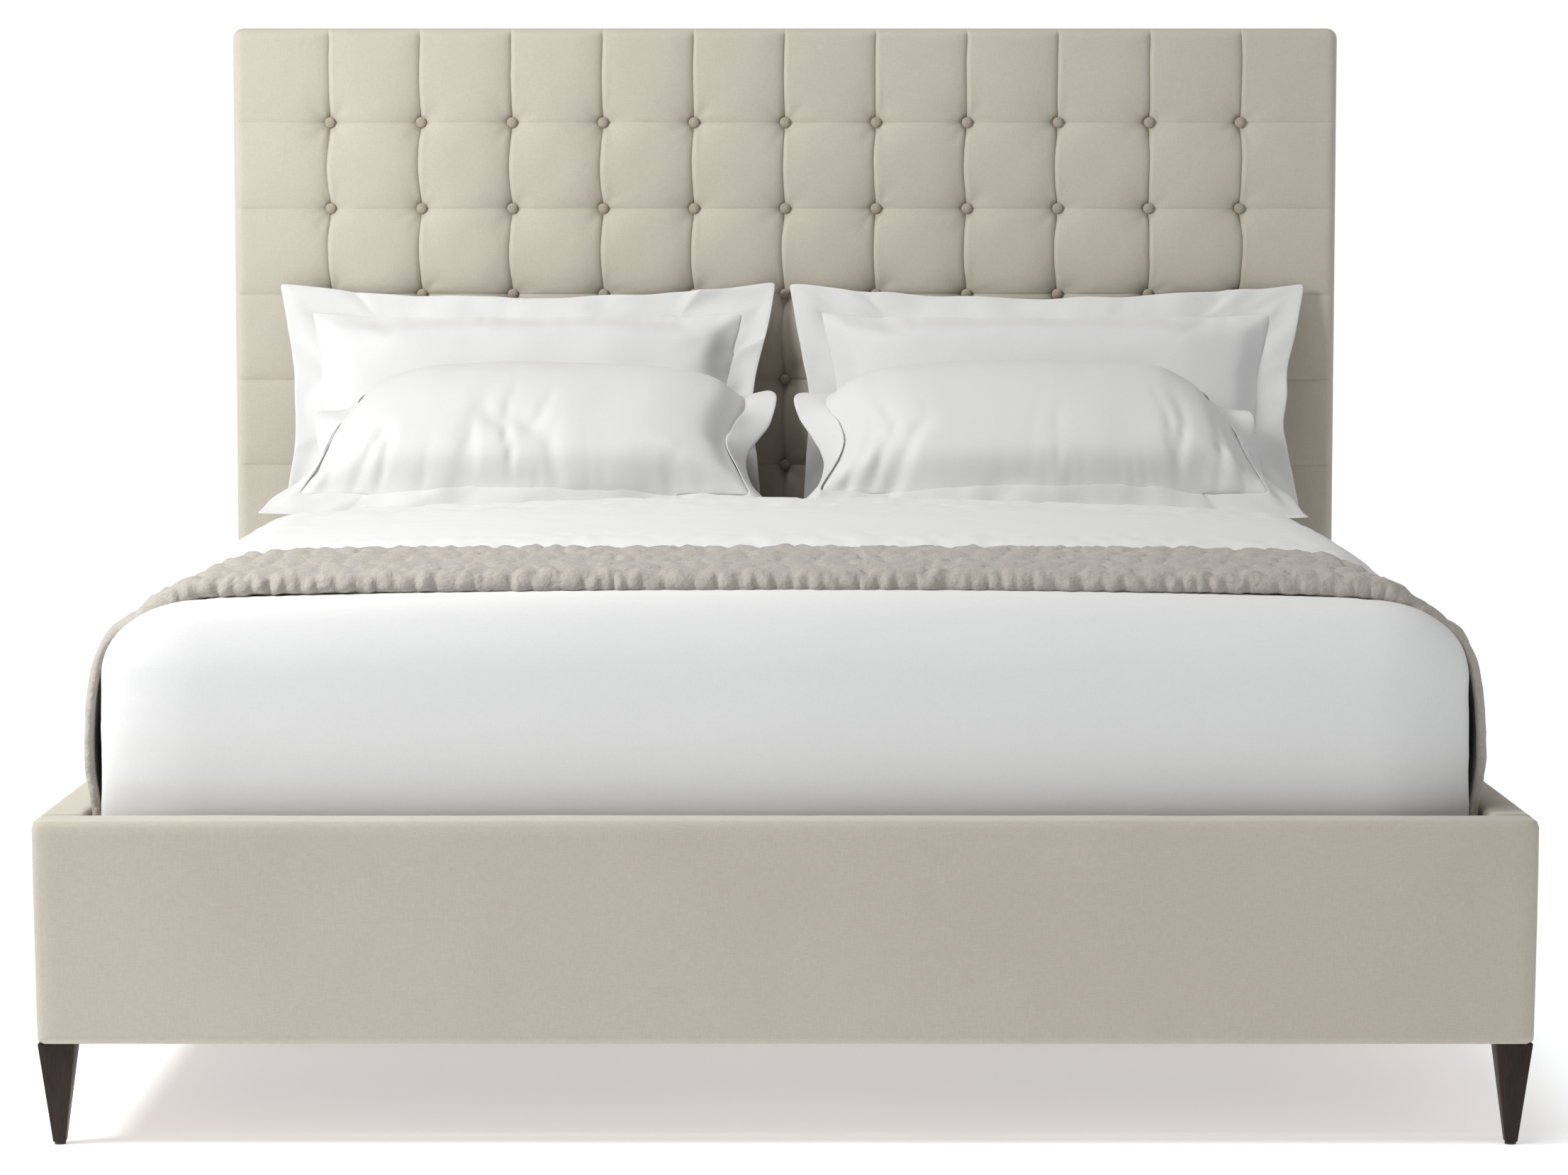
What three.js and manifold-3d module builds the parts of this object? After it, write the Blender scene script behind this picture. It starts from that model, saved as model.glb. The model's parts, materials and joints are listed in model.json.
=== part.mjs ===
// Upholstered king bed: button-tufted headboard, padded footboard and side rails on tapered legs,
// slat platform, split foundation, mattress and bedding. Millimetres, +Z up, foot of the bed towards -Y.
import * as THREE from "three";
import { mergeVertices, mergeGeometries } from "three/addons/utils/BufferGeometryUtils.js";
import Module from "manifold-3d";

const wasm = await Module();
wasm.setup();

// ---------- driving dimensions ----------
const MATTRESS_WIDTH = 1905;
const MATTRESS_LENGTH = 2032;
const MATTRESS_THICKNESS = 355;
const MATTRESS_FOOT_GAP = 16; // footboard back to the mattress
const MATTRESS_HEAD_GAP = 64; // mattress to the front of the headboard padding
const HEADBOARD_TOP = 1648;
const HEADBOARD_SET_IN = 2; // each end of the headboard inside the outer faces of the rails
const LEG_HEIGHT = 145;
const RAIL_HEIGHT = 311; // side rails and footboard, underside to top
const RAIL_THICKNESS = 60;
const FOOTBOARD_THICKNESS = 60;
const COVER = 9; // foam and fabric over the timber

const PAD_THICKNESS = 50; // headboard padding at the top of a puff
const PLYWOOD = 9;
const HEADBOARD_TIMBER = 38;
const POST_WIDTH = 70;
const CROSS_RAIL_HEIGHT = 64;
const BACK_SHEET = 3;
const SIDE_BAND = 5;
const LOWER_COVER_RISE = 6; // top of the plain lower panel above the side rails

const TUFT_COLUMNS = 11;
const TUFT_ROWS = 5;
const TUFT_SIDE_MARGIN = 180.5; // headboard side to the first column of buttons
const TUFT_TOP_MARGIN = 175; // headboard top to the first row
const TUFT_LOW_MARGIN = 369; // lower cover's top to the last row
const DIMPLE = 22;
const PLEAT = 8;
const PAD_EDGE = 20; // rounding round the padding's edge
const BUTTON_RADIUS = 10;
const BUTTON_THICKNESS = 8;
const BUTTON_SEAT = 1.25; // least gap between a button and the padding round its dimple
const TWINE = 3;

const LEG_TOP = 51.5;
const LEG_BOTTOM = 17.5;
const LEG_INSET = 5;
const GLIDE_HEIGHT = 3;
const GLIDE_RADIUS = 8;

const LEDGER_WIDTH = 30;
const LEDGER_HEIGHT = 30;
const SLAT_SEAT = 258; // height of the ledgers' top above the floor
const SLAT_THICKNESS = 19;
const SLAT_WIDTH = 90;
const SLAT_COUNT = 5;
const BEAM_WIDTH = 38;
const BEAM_HEIGHT = 60;
const CENTER_LEG_SIZE = 38;
const CENTER_LEG_SETBACK = 785; // footboard front to the first centre leg
const REAR_LEG_SETBACK = 640; // headboard padding to the second centre leg
const STEM_RADIUS = 4;
const STEM_IN_LEG = 40;
const STEM_SHOWN = 18;
const FOOT_RADIUS = 19;
const FOOT_HEIGHT = 12;
const STEEL = 2.5;
const BRACKET_LEG = 50;
const BRACKET_HEIGHT = 60;
const HANGER_DEPTH = 48;

const FOUNDATION_HEIGHT = 127;
const SHEET = 5; // top sheet and thin part of the comforter
const COMFORTER_RISE = 20; // extra loft of the comforter behind the coverlet
const COMFORTER_RAMP = 160; // behind the coverlet, where the comforter rises to its full loft
const COMFORTER_EDGE = 18; // radius of its turned edge
const PILLOW_ZONE = 568; // the comforter's turned edge to the headboard padding
const MATTRESS_CORNER = [145, 110]; // width and height of the rounding along its long top edges
const MATTRESS_FOOT_CORNER = 45; // radius across its short top edges
const COVERLET_START = 34; // foot of the mattress to the coverlet's front fold
const COVERLET_DEPTH = 606;
const COVERLET_TOP = 30;
const COVERLET_SIDE = 14;
const COVERLET_EDGE = 14; // radius of its folded edges
const BEDDING_TUCK = 42; // how far the bedding hangs below the top of the rails

const PILLOW_WIDTH = 914;
const PILLOW_HEIGHT = 455;
const PILLOW_THICKNESS = 130;
const PILLOW_FLANGE = 50;
const PILLOW_GAP = 24; // between the left and right pillows
const SHAM_LEAN = 26; // degrees from upright
const FRONT_LEAN = 57;
const SHAM_HEAD_CLEARANCE = 24; // headboard padding to the sham's top edge
const FRONT_PILLOW_START = 8; // comforter edge to the front pillow's lower edge
const PILLOW_SEAT = 10; // lower edge of a pillow above the mattress

// ---------- clearances ----------
const TOUCH = 0.3; // between faces that touch
const SOFT_GAP = 0.5; // between layers of bedding
const HOLE_GAP = 1; // twine to the sides of its hole
const STEM_CLEARANCE = 0.3;
const BEDDING_CLEARANCE = 2.5; // coverlet to the side rails
const LEDGER_CLEARANCE = 10; // corner brackets to the ends of the ledgers

// ---------- derived places ----------
const MATTRESS_HALF = MATTRESS_WIDTH / 2;
const MATTRESS_FOOT = FOOTBOARD_THICKNESS + MATTRESS_FOOT_GAP;
const MATTRESS_HEAD = MATTRESS_FOOT + MATTRESS_LENGTH;
const COVERLET_INSIDE = MATTRESS_HALF + 2 * SOFT_GAP + SHEET;
const INNER_HALF = COVERLET_INSIDE + COVERLET_SIDE + BEDDING_CLEARANCE;
const HALF = INNER_HALF + RAIL_THICKNESS;
const RAIL_TOP = LEG_HEIGHT + RAIL_HEIGHT;
const BODY_BOTTOM = LEG_HEIGHT + TOUCH;
const PAD_FRONT = MATTRESS_HEAD + MATTRESS_HEAD_GAP;
const PAD_BACK = PAD_FRONT + PAD_THICKNESS;
const PLY_FRONT = PAD_BACK + TOUCH;
const PLY_BACK = PLY_FRONT + PLYWOOD;
const TIMBER_FRONT = PLY_BACK + TOUCH;
const TIMBER_BACK = TIMBER_FRONT + HEADBOARD_TIMBER;
const SHEET_FRONT = TIMBER_BACK + TOUCH;
const OVERALL_DEPTH = SHEET_FRONT + BACK_SHEET;
const LOWER_TOP = RAIL_TOP + LOWER_COVER_RISE;
const LOWER_FRONT = PAD_BACK - COVER;
const RAIL_START = FOOTBOARD_THICKNESS + TOUCH;
const RAIL_END = LOWER_FRONT - TOUCH;
const HEAD_HALF = HALF - HEADBOARD_SET_IN;
const TIMBER_HALF = HEAD_HALF - SIDE_BAND - TOUCH;
const TIMBER_TOP = HEADBOARD_TOP - SIDE_BAND - TOUCH;
const TUFT_PITCH_X = (2 * (HEAD_HALF - TUFT_SIDE_MARGIN)) / (TUFT_COLUMNS - 1);
const TUFT_PITCH_Z = (HEADBOARD_TOP - TUFT_TOP_MARGIN - LOWER_TOP - TUFT_LOW_MARGIN) / (TUFT_ROWS - 1);
const TUFT_X = centred(TUFT_COLUMNS, TUFT_PITCH_X);
const TUFT_Z = Array.from({ length: TUFT_ROWS }, (_, i) => HEADBOARD_TOP - TUFT_TOP_MARGIN - i * TUFT_PITCH_Z);
const CORE_INNER = INNER_HALF + COVER + TOUCH;
const CORE_OUTER = HALF - COVER - TOUCH;
const LEDGER_START = RAIL_START + BRACKET_LEG + LEDGER_CLEARANCE;
const LEDGER_END = RAIL_END - BRACKET_LEG - LEDGER_CLEARANCE;
const FLANGE_BOTTOM = SLAT_SEAT + SLAT_THICKNESS + 23; // the covers' inner sides stop above the slats
const SLAT_TOP = SLAT_SEAT + TOUCH + SLAT_THICKNESS;
const FOUNDATION_BOTTOM = SLAT_TOP + TOUCH;
const MATTRESS_BOTTOM = FOUNDATION_BOTTOM + FOUNDATION_HEIGHT + TOUCH;
const MATTRESS_TOP = MATTRESS_BOTTOM + MATTRESS_THICKNESS;
const BEDDING_BOTTOM = RAIL_TOP - BEDDING_TUCK;
const COMFORTER_END = PAD_FRONT - PILLOW_ZONE;
const COVERLET_FRONT = MATTRESS_FOOT + COVERLET_START;
const COVERLET_BACK = COVERLET_FRONT + COVERLET_DEPTH;

// ---------- materials ----------
function material(color, roughness, metalness = 0) {
  return new THREE.MeshStandardMaterial({ color, roughness, metalness });
}
const upholstery = material("#c4bca4", 0.9);
const buttonFabric = material("#b3a98f", 0.9);
const pine = material("#d2b48c", 0.7);
const plywood = material("#c9a878", 0.7);
const espresso = material("#2e1c14", 0.4);
const steel = material("#6d7073", 0.4, 1);
const nylon = material("#1c1c1c", 0.6);
const backing = material("#2b2a29", 0.95);
const ticking = material("#e9e7e2", 0.9);
const linen = material("#f1f0ee", 0.85);
const quilt = material("#a39b92", 0.9);

// ---------- helpers ----------
function centred(count, pitch) {
  return Array.from({ length: count }, (_, i) => (i - (count - 1) / 2) * pitch);
}

function solidOf(geometry) {
  const bare = geometry.index ? geometry.toNonIndexed() : geometry;
  const points = new THREE.BufferGeometry().setAttribute("position", bare.getAttribute("position"));
  const merged = mergeVertices(points, 1e-3);
  const index = merged.index.array;
  const kept = [];
  for (let i = 0; i < index.length; i += 3) {
    const [a, b, c] = [index[i], index[i + 1], index[i + 2]];
    if (a !== b && b !== c && c !== a) kept.push(a, b, c);
  }
  const mesh = { numProp: 3, vertProperties: merged.attributes.position.array, triVerts: new Uint32Array(kept) };
  return new wasm.Manifold(new wasm.Mesh(mesh));
}

function geometryOf(solid) {
  const { vertProperties, triVerts } = solid.getMesh();
  const geometry = new THREE.BufferGeometry();
  geometry.setAttribute("position", new THREE.BufferAttribute(vertProperties, 3));
  geometry.setIndex(new THREE.BufferAttribute(triVerts, 1));
  const flat = geometry.toNonIndexed();
  flat.computeVertexNormals();
  return flat;
}

function named(name, shape, surface) {
  const geometry = shape.isBufferGeometry ? shape : geometryOf(shape);
  const mesh = new THREE.Mesh(geometry, surface);
  mesh.name = name;
  return mesh;
}

function box([x0, x1], [y0, y1], [z0, z1]) {
  const geometry = new THREE.BoxGeometry(x1 - x0, y1 - y0, z1 - z0);
  return geometry.translate((x0 + x1) / 2, (y0 + y1) / 2, (z0 + z1) / 2);
}

function boxSolid(xs, ys, zs) {
  return solidOf(box(xs, ys, zs));
}

// The range from a to b, or its mirror image on the left side of the bed.
function sided(side, a, b) {
  return side > 0 ? [a, b] : [-b, -a];
}

function extrude(shape, depth, segments) {
  return new THREE.ExtrudeGeometry(shape, { depth, bevelEnabled: false, curveSegments: segments });
}

// A shape drawn in X and Z, extruded along Y.
function alongY(shape, [y0, y1], segments = 5) {
  return solidOf(extrude(shape, y1 - y0, segments).rotateX(Math.PI / 2).translate(0, y1, 0));
}

// A shape drawn in Y and Z, extruded along X.
function alongX(shape, [x0, x1], segments = 5) {
  const turn = new THREE.Matrix4().makeBasis(
    new THREE.Vector3(0, 1, 0),
    new THREE.Vector3(0, 0, 1),
    new THREE.Vector3(1, 0, 0),
  );
  return solidOf(extrude(shape, x1 - x0, segments).applyMatrix4(turn).translate(x0, 0, 0));
}

// A rectangle whose two top corners and two bottom corners are quarter ellipses.
function archShape([a0, a1], [b0, b1], [topA, topB], [lowA, lowB] = [0, 0]) {
  const shape = new THREE.Shape();
  shape.moveTo(a0 + lowA, b0);
  shape.lineTo(a1 - lowA, b0);
  if (lowA) shape.absellipse(a1 - lowA, b0 + lowB, lowA, lowB, -Math.PI / 2, 0);
  shape.lineTo(a1, b1 - topB);
  shape.absellipse(a1 - topA, b1 - topB, topA, topB, 0, Math.PI / 2);
  shape.lineTo(a0 + topA, b1);
  shape.absellipse(a0 + topA, b1 - topB, topA, topB, Math.PI / 2, Math.PI);
  shape.lineTo(a0, b0 + lowB);
  if (lowA) shape.absellipse(a0 + lowA, b0 + lowB, lowA, lowB, Math.PI, Math.PI * 1.5);
  return shape;
}

// A closed slab between two surfaces given over the same lines in u and v: front(u, v) and back(u, v)
// return [x, y, z], and the front faces the side that u cross v points to.
function slab(us, vs, front, back) {
  const positions = [];
  const push = (...points) => points.forEach((p) => positions.push(...p));
  const quad = (a, b, c, d) => push(a, b, c, a, c, d);
  for (let i = 0; i + 1 < us.length; i++)
    for (let j = 0; j + 1 < vs.length; j++) {
      const corners = [[i, j], [i + 1, j], [i + 1, j + 1], [i, j + 1]].map(([m, n]) => [us[m], vs[n]]);
      quad(...corners.map(([u, v]) => front(u, v)));
      quad(...corners.map(([u, v]) => back(u, v)).reverse());
    }
  const rim = (points) =>
    points.slice(1).forEach(([u, v], k) => {
      const [p, q] = points[k];
      quad(front(p, q), back(p, q), back(u, v), front(u, v));
    });
  const first = [us[0], vs[0]];
  const last = [us.at(-1), vs.at(-1)];
  rim(us.map((u) => [u, first[1]]));
  rim(vs.map((v) => [last[0], v]));
  rim([...us].reverse().map((u) => [u, last[1]]));
  rim([...vs].reverse().map((v) => [first[0], v]));
  return new THREE.BufferGeometry().setAttribute("position", new THREE.Float32BufferAttribute(positions, 3));
}

// ---------- headboard ----------
const ACROSS = [-TIMBER_HALF + POST_WIDTH + TOUCH, TIMBER_HALF - POST_WIDTH - TOUCH];

function twineHoles([y0, y1]) {
  const half = TWINE / 2 + HOLE_GAP;
  const holes = TUFT_Z.flatMap((z) => TUFT_X.map((x) => box([x - half, x + half], [y0, y1], [z - half, z + half])));
  return solidOf(mergeGeometries(holes));
}

// How far the padding lies behind the top of the puffs: deepest at a button, shallower along the pleats.
function tuftDepth(x, z) {
  const bottom = TUFT_Z.at(-1) - TUFT_PITCH_Z / 2;
  const onColumn = TUFT_X.some((c) => Math.abs(c - x) < 1);
  const onRow = TUFT_Z.some((r) => Math.abs(r - z) < 1);
  if (onColumn && onRow) return DIMPLE;
  if (z < bottom) return PLEAT;
  if (onColumn) return PLEAT;
  if (onRow && Math.abs(x) < TUFT_X.at(-1)) return PLEAT;
  return 0;
}

function headboardPad() {
  const halfPitch = TUFT_PITCH_X / 2;
  const columns = centred(2 * TUFT_COLUMNS + 1, halfPitch);
  const us = [-HEAD_HALF, -HEAD_HALF + PAD_EDGE, ...columns, HEAD_HALF - PAD_EDGE, HEAD_HALF];
  const rows = TUFT_Z.flatMap((z) => [z, z - TUFT_PITCH_Z / 2]).reverse();
  const crest = HEADBOARD_TOP - TUFT_TOP_MARGIN / 2;
  const low = LOWER_TOP + TOUCH;
  const vs = [low, low + PAD_EDGE, ...rows, crest, HEADBOARD_TOP - PAD_EDGE, HEADBOARD_TOP];
  const rim = (u, v) => Math.abs(u) === HEAD_HALF || v === HEADBOARD_TOP || v === low;
  const front = (u, v) => [u, PAD_FRONT + (rim(u, v) ? PAD_EDGE : tuftDepth(u, v)), v];
  const back = (u, v) => [u, PAD_BACK, v];
  return solidOf(slab(us, vs, front, back)).subtract(twineHoles([PAD_FRONT, PAD_BACK + 1]));
}

function headboardPanel() {
  const sheet = boxSolid([-TIMBER_HALF, TIMBER_HALF], [PLY_FRONT, PLY_BACK], [BODY_BOTTOM, TIMBER_TOP]);
  return sheet.subtract(twineHoles([PLY_FRONT - 1, PLY_BACK + 1]));
}

// One row of fabric buttons on their twine, tied to one cord behind the plywood.
function tuftingRow(z) {
  const rise = (DIMPLE * BUTTON_RADIUS) / (TUFT_PITCH_Z / 2);
  const back = PAD_FRONT + DIMPLE - rise - BUTTON_SEAT;
  const front = back - BUTTON_THICKNESS;
  const profile = [
    [0, front],
    [BUTTON_RADIUS * 0.7, front + 1],
    [BUTTON_RADIUS, back - 3],
    [BUTTON_RADIUS, back],
    [0, back],
  ].map(([r, y]) => new THREE.Vector2(r, y));
  const button = solidOf(new THREE.LatheGeometry(profile, 8));
  const half = TWINE / 2;
  const cordFront = PLY_BACK + TOUCH;
  const ends = TUFT_X.at(-1) + TWINE;
  let row = boxSolid([-ends, ends], [cordFront, cordFront + TWINE], [z - TWINE, z + TWINE]);
  for (const x of TUFT_X) {
    const twine = boxSolid([x - half, x + half], [back - 1, cordFront + half], [z - half, z + half]);
    row = row.add(button.translate([x, 0, z])).add(twine);
  }
  return row;
}

// The fabric band that closes the headboard's sides and top, from the padding to the back.
function headboardBand() {
  const ys = [PLY_FRONT, SHEET_FRONT - TOUCH];
  const outer = boxSolid([-HEAD_HALF, HEAD_HALF], ys, [BODY_BOTTOM, HEADBOARD_TOP]);
  const inside = [-HEAD_HALF + SIDE_BAND, HEAD_HALF - SIDE_BAND];
  return outer.subtract(boxSolid(inside, [ys[0] - 1, ys[1] + 1], [0, HEADBOARD_TOP - SIDE_BAND]));
}

function headboard() {
  const group = new THREE.Group();
  const timber = [TIMBER_FRONT, TIMBER_BACK];
  const crossRail = (z) => box(ACROSS, timber, [z, z + CROSS_RAIL_HEIGHT]);
  const middle = (TUFT_Z[2] + TUFT_Z[3]) / 2 - CROSS_RAIL_HEIGHT / 2;
  for (const [side, word] of [[-1, "left"], [1, "right"]]) {
    const xs = sided(side, TIMBER_HALF - POST_WIDTH, TIMBER_HALF);
    group.add(named(`headboard_post_${word}`, box(xs, timber, [BODY_BOTTOM, TIMBER_TOP]), pine));
  }
  group.add(
    named("headboard_top_rail", crossRail(TIMBER_TOP - CROSS_RAIL_HEIGHT), pine),
    named("headboard_middle_rail", crossRail(middle), pine),
    named("headboard_bottom_rail", crossRail(BODY_BOTTOM), pine),
    named("headboard_plywood", headboardPanel(), plywood),
    named("headboard_pad", headboardPad(), upholstery),
    named("headboard_side_band", headboardBand(), upholstery),
    named(
      "headboard_lower_cover",
      box([-HEAD_HALF, HEAD_HALF], [LOWER_FRONT, PAD_BACK], [BODY_BOTTOM, LOWER_TOP]),
      upholstery,
    ),
    named(
      "headboard_back_sheet",
      box([-HEAD_HALF, HEAD_HALF], [SHEET_FRONT, OVERALL_DEPTH], [BODY_BOTTOM, HEADBOARD_TOP]),
      backing,
    ),
  );
  TUFT_Z.forEach((z, i) => group.add(named(`tufting_row_${i + 1}`, tuftingRow(z), buttonFabric)));
  return group;
}

// ---------- footboard ----------
function footboardCover() {
  const ys = [0, FOOTBOARD_THICKNESS];
  const shell = alongY(archShape([-HALF, HALF], [BODY_BOTTOM, RAIL_TOP], [10, 10]), ys, 3);
  const rounded = alongX(archShape(ys, [BODY_BOTTOM, RAIL_TOP], [6, 6]), [-HALF, HALF], 2);
  const hollow = boxSolid(
    [-HALF + COVER, HALF - COVER],
    [COVER, FOOTBOARD_THICKNESS - COVER],
    [0, RAIL_TOP - COVER],
  );
  const openBack = boxSolid([-CORE_INNER, CORE_INNER], [COVER + 5, FOOTBOARD_THICKNESS + 1], [0, FLANGE_BOTTOM]);
  return shell.intersect(rounded).subtract(hollow).subtract(openBack);
}

function footboard() {
  const group = new THREE.Group();
  const inset = COVER + TOUCH;
  const core = box(
    [-HALF + inset, HALF - inset],
    [inset, FOOTBOARD_THICKNESS - inset],
    [BODY_BOTTOM, RAIL_TOP - inset],
  );
  group.add(named("footboard_core", core, pine), named("footboard_cover", footboardCover(), upholstery));
  return group;
}

// ---------- side rails ----------
// Foam and fabric over the rail: full height outside, over the top, and down the inside to above the slats.
function railCoverShape() {
  const shape = new THREE.Shape();
  const radius = 6;
  shape.moveTo(HALF - COVER, BODY_BOTTOM);
  shape.lineTo(HALF, BODY_BOTTOM);
  shape.lineTo(HALF, RAIL_TOP - radius);
  shape.absarc(HALF - radius, RAIL_TOP - radius, radius, 0, Math.PI / 2);
  shape.lineTo(INNER_HALF + radius, RAIL_TOP);
  shape.absarc(INNER_HALF + radius, RAIL_TOP - radius, radius, Math.PI / 2, Math.PI);
  shape.lineTo(INNER_HALF, FLANGE_BOTTOM);
  shape.lineTo(INNER_HALF + COVER, FLANGE_BOTTOM);
  shape.lineTo(INNER_HALF + COVER, RAIL_TOP - COVER);
  shape.lineTo(HALF - COVER, RAIL_TOP - COVER);
  return shape;
}

function sideRail(side, word) {
  const group = new THREE.Group();
  const length = [RAIL_START, RAIL_END];
  const cover = alongY(railCoverShape(), length, 2);
  const core = box(sided(side, CORE_INNER, CORE_OUTER), length, [BODY_BOTTOM, RAIL_TOP - COVER - TOUCH]);
  const ledgerFace = CORE_INNER - TOUCH;
  const ledger = box(
    sided(side, ledgerFace - LEDGER_WIDTH, ledgerFace),
    [LEDGER_START, LEDGER_END],
    [SLAT_SEAT - LEDGER_HEIGHT, SLAT_SEAT],
  );
  group.add(
    named(`side_rail_core_${word}`, core, pine),
    named(`side_rail_cover_${word}`, side > 0 ? cover : cover.mirror([1, 0, 0]), upholstery),
    named(`ledger_${word}`, ledger, pine),
  );
  return group;
}

// A steel angle in an inner corner: one leg along the rail, the other across the end board.
function cornerBracket(side, faceY, inward) {
  const rail = CORE_INNER - TOUCH;
  const reach = inward > 0 ? [faceY, faceY + BRACKET_LEG] : [faceY - BRACKET_LEG, faceY];
  const plate = inward > 0 ? [faceY, faceY + STEEL] : [faceY - STEEL, faceY];
  const zs = [BODY_BOTTOM + 5, BODY_BOTTOM + 5 + BRACKET_HEIGHT];
  const along = boxSolid(sided(side, rail - STEEL, rail), reach, zs);
  return along.add(boxSolid(sided(side, rail - BRACKET_LEG, rail), plate, zs));
}

function cornerBrackets() {
  const group = new THREE.Group();
  const footFace = FOOTBOARD_THICKNESS - COVER;
  const headFace = LOWER_FRONT - TOUCH;
  for (const [side, word] of [[-1, "left"], [1, "right"]])
    group.add(
      named(`corner_bracket_foot_${word}`, cornerBracket(side, footFace, 1), steel),
      named(`corner_bracket_head_${word}`, cornerBracket(side, headFace, -1), steel),
    );
  return group;
}

// ---------- slats and centre support ----------
function slats() {
  const group = new THREE.Group();
  const half = CORE_INNER - 2;
  const first = LEDGER_START + SLAT_WIDTH / 2;
  const last = LEDGER_END - SLAT_WIDTH / 2;
  const bottom = SLAT_SEAT + TOUCH;
  for (let i = 0; i < SLAT_COUNT; i++) {
    const y = first + ((last - first) * i) / (SLAT_COUNT - 1);
    const slat = box([-half, half], [y - SLAT_WIDTH / 2, y + SLAT_WIDTH / 2], [bottom, bottom + SLAT_THICKNESS]);
    group.add(named(`slat_${i + 1}`, slat, pine));
  }
  return group;
}

// A steel stirrup on an end board that the centre beam drops into.
function beamHanger(faceY, inward) {
  const bottom = SLAT_SEAT - BEAM_HEIGHT - TOUCH - STEEL;
  const half = BEAM_WIDTH / 2 + TOUCH;
  const ys = inward > 0 ? [faceY, faceY + HANGER_DEPTH] : [faceY - HANGER_DEPTH, faceY];
  const hollow = inward > 0 ? [faceY + STEEL, ys[1] + 1] : [ys[0] - 1, faceY - STEEL];
  const block = boxSolid([-half - STEEL, half + STEEL], ys, [bottom, SLAT_SEAT]);
  return block.subtract(boxSolid([-half, half], hollow, [bottom + STEEL, SLAT_SEAT + 1]));
}

function centerLeg() {
  const half = CENTER_LEG_SIZE / 2;
  const bottom = FOOT_HEIGHT + STEM_SHOWN;
  const top = SLAT_SEAT - BEAM_HEIGHT - TOUCH;
  const boreTop = bottom + STEM_IN_LEG + 2;
  const bore = new THREE.CylinderGeometry(STEM_RADIUS + STEM_CLEARANCE, STEM_RADIUS + STEM_CLEARANCE, boreTop, 12);
  const hole = solidOf(bore.rotateX(Math.PI / 2).translate(0, 0, boreTop / 2));
  return boxSolid([-half, half], [-half, half], [bottom, top]).subtract(hole);
}

function levellingStem() {
  const bottom = FOOT_HEIGHT + TOUCH;
  const length = STEM_SHOWN + STEM_IN_LEG - TOUCH;
  const stem = new THREE.CylinderGeometry(STEM_RADIUS, STEM_RADIUS, length, 12);
  return stem.rotateX(Math.PI / 2).translate(0, 0, bottom + length / 2);
}

function levellingFoot() {
  const foot = new THREE.CylinderGeometry(FOOT_RADIUS * 0.7, FOOT_RADIUS, FOOT_HEIGHT, 12);
  return foot.rotateX(Math.PI / 2).translate(0, 0, FOOT_HEIGHT / 2);
}

function centerSupport() {
  const group = new THREE.Group();
  const footFace = FOOTBOARD_THICKNESS - COVER;
  const headFace = LOWER_FRONT - TOUCH;
  const beamEnds = [footFace + STEEL + TOUCH, headFace - STEEL - TOUCH];
  const half = BEAM_WIDTH / 2;
  group.add(
    named("center_beam", box([-half, half], beamEnds, [SLAT_SEAT - BEAM_HEIGHT, SLAT_SEAT]), pine),
    named("beam_hanger_foot", beamHanger(footFace, 1), steel),
    named("beam_hanger_head", beamHanger(headFace, -1), steel),
  );
  const legs = [["front", CENTER_LEG_SETBACK], ["rear", PAD_FRONT - REAR_LEG_SETBACK]];
  for (const [word, y] of legs) {
    const place = new THREE.Group();
    place.position.y = y;
    place.add(
      named(`center_leg_${word}`, centerLeg(), pine),
      named(`levelling_stem_${word}`, levellingStem(), steel),
      named(`levelling_foot_${word}`, levellingFoot(), nylon),
    );
    group.add(place);
  }
  return group;
}

// ---------- legs ----------
function taperedLeg() {
  const height = LEG_HEIGHT - GLIDE_HEIGHT - TOUCH;
  const toRadius = Math.SQRT1_2;
  const leg = new THREE.CylinderGeometry(LEG_TOP * toRadius, LEG_BOTTOM * toRadius, height, 4);
  const middle = GLIDE_HEIGHT + TOUCH + height / 2;
  return leg.rotateY(Math.PI / 4).rotateX(Math.PI / 2).translate(0, 0, middle);
}

function legGlide() {
  const glide = new THREE.CylinderGeometry(GLIDE_RADIUS, GLIDE_RADIUS, GLIDE_HEIGHT, 12);
  return glide.rotateX(Math.PI / 2).translate(0, 0, GLIDE_HEIGHT / 2);
}

function legs() {
  const group = new THREE.Group();
  const inset = LEG_INSET + LEG_TOP / 2;
  for (const [end, y] of [["foot", inset], ["head", OVERALL_DEPTH - inset]])
    for (const [side, word] of [[-1, "left"], [1, "right"]]) {
      const place = new THREE.Group();
      place.position.set(side * (HALF - inset), y, 0);
      place.add(
        named(`leg_${end}_${word}`, taperedLeg(), espresso),
        named(`leg_glide_${end}_${word}`, legGlide(), nylon),
      );
      group.add(place);
    }
  return group;
}

// ---------- foundation, mattress and bedding ----------
function foundations() {
  const group = new THREE.Group();
  const top = FOUNDATION_BOTTOM + FOUNDATION_HEIGHT;
  for (const [side, word] of [[-1, "left"], [1, "right"]]) {
    const xs = sided(side, 2, MATTRESS_HALF - 2);
    const half = box(xs, [MATTRESS_FOOT, MATTRESS_HEAD], [FOUNDATION_BOTTOM, top]);
    group.add(named(`foundation_${word}`, half, ticking));
  }
  return group;
}

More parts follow.
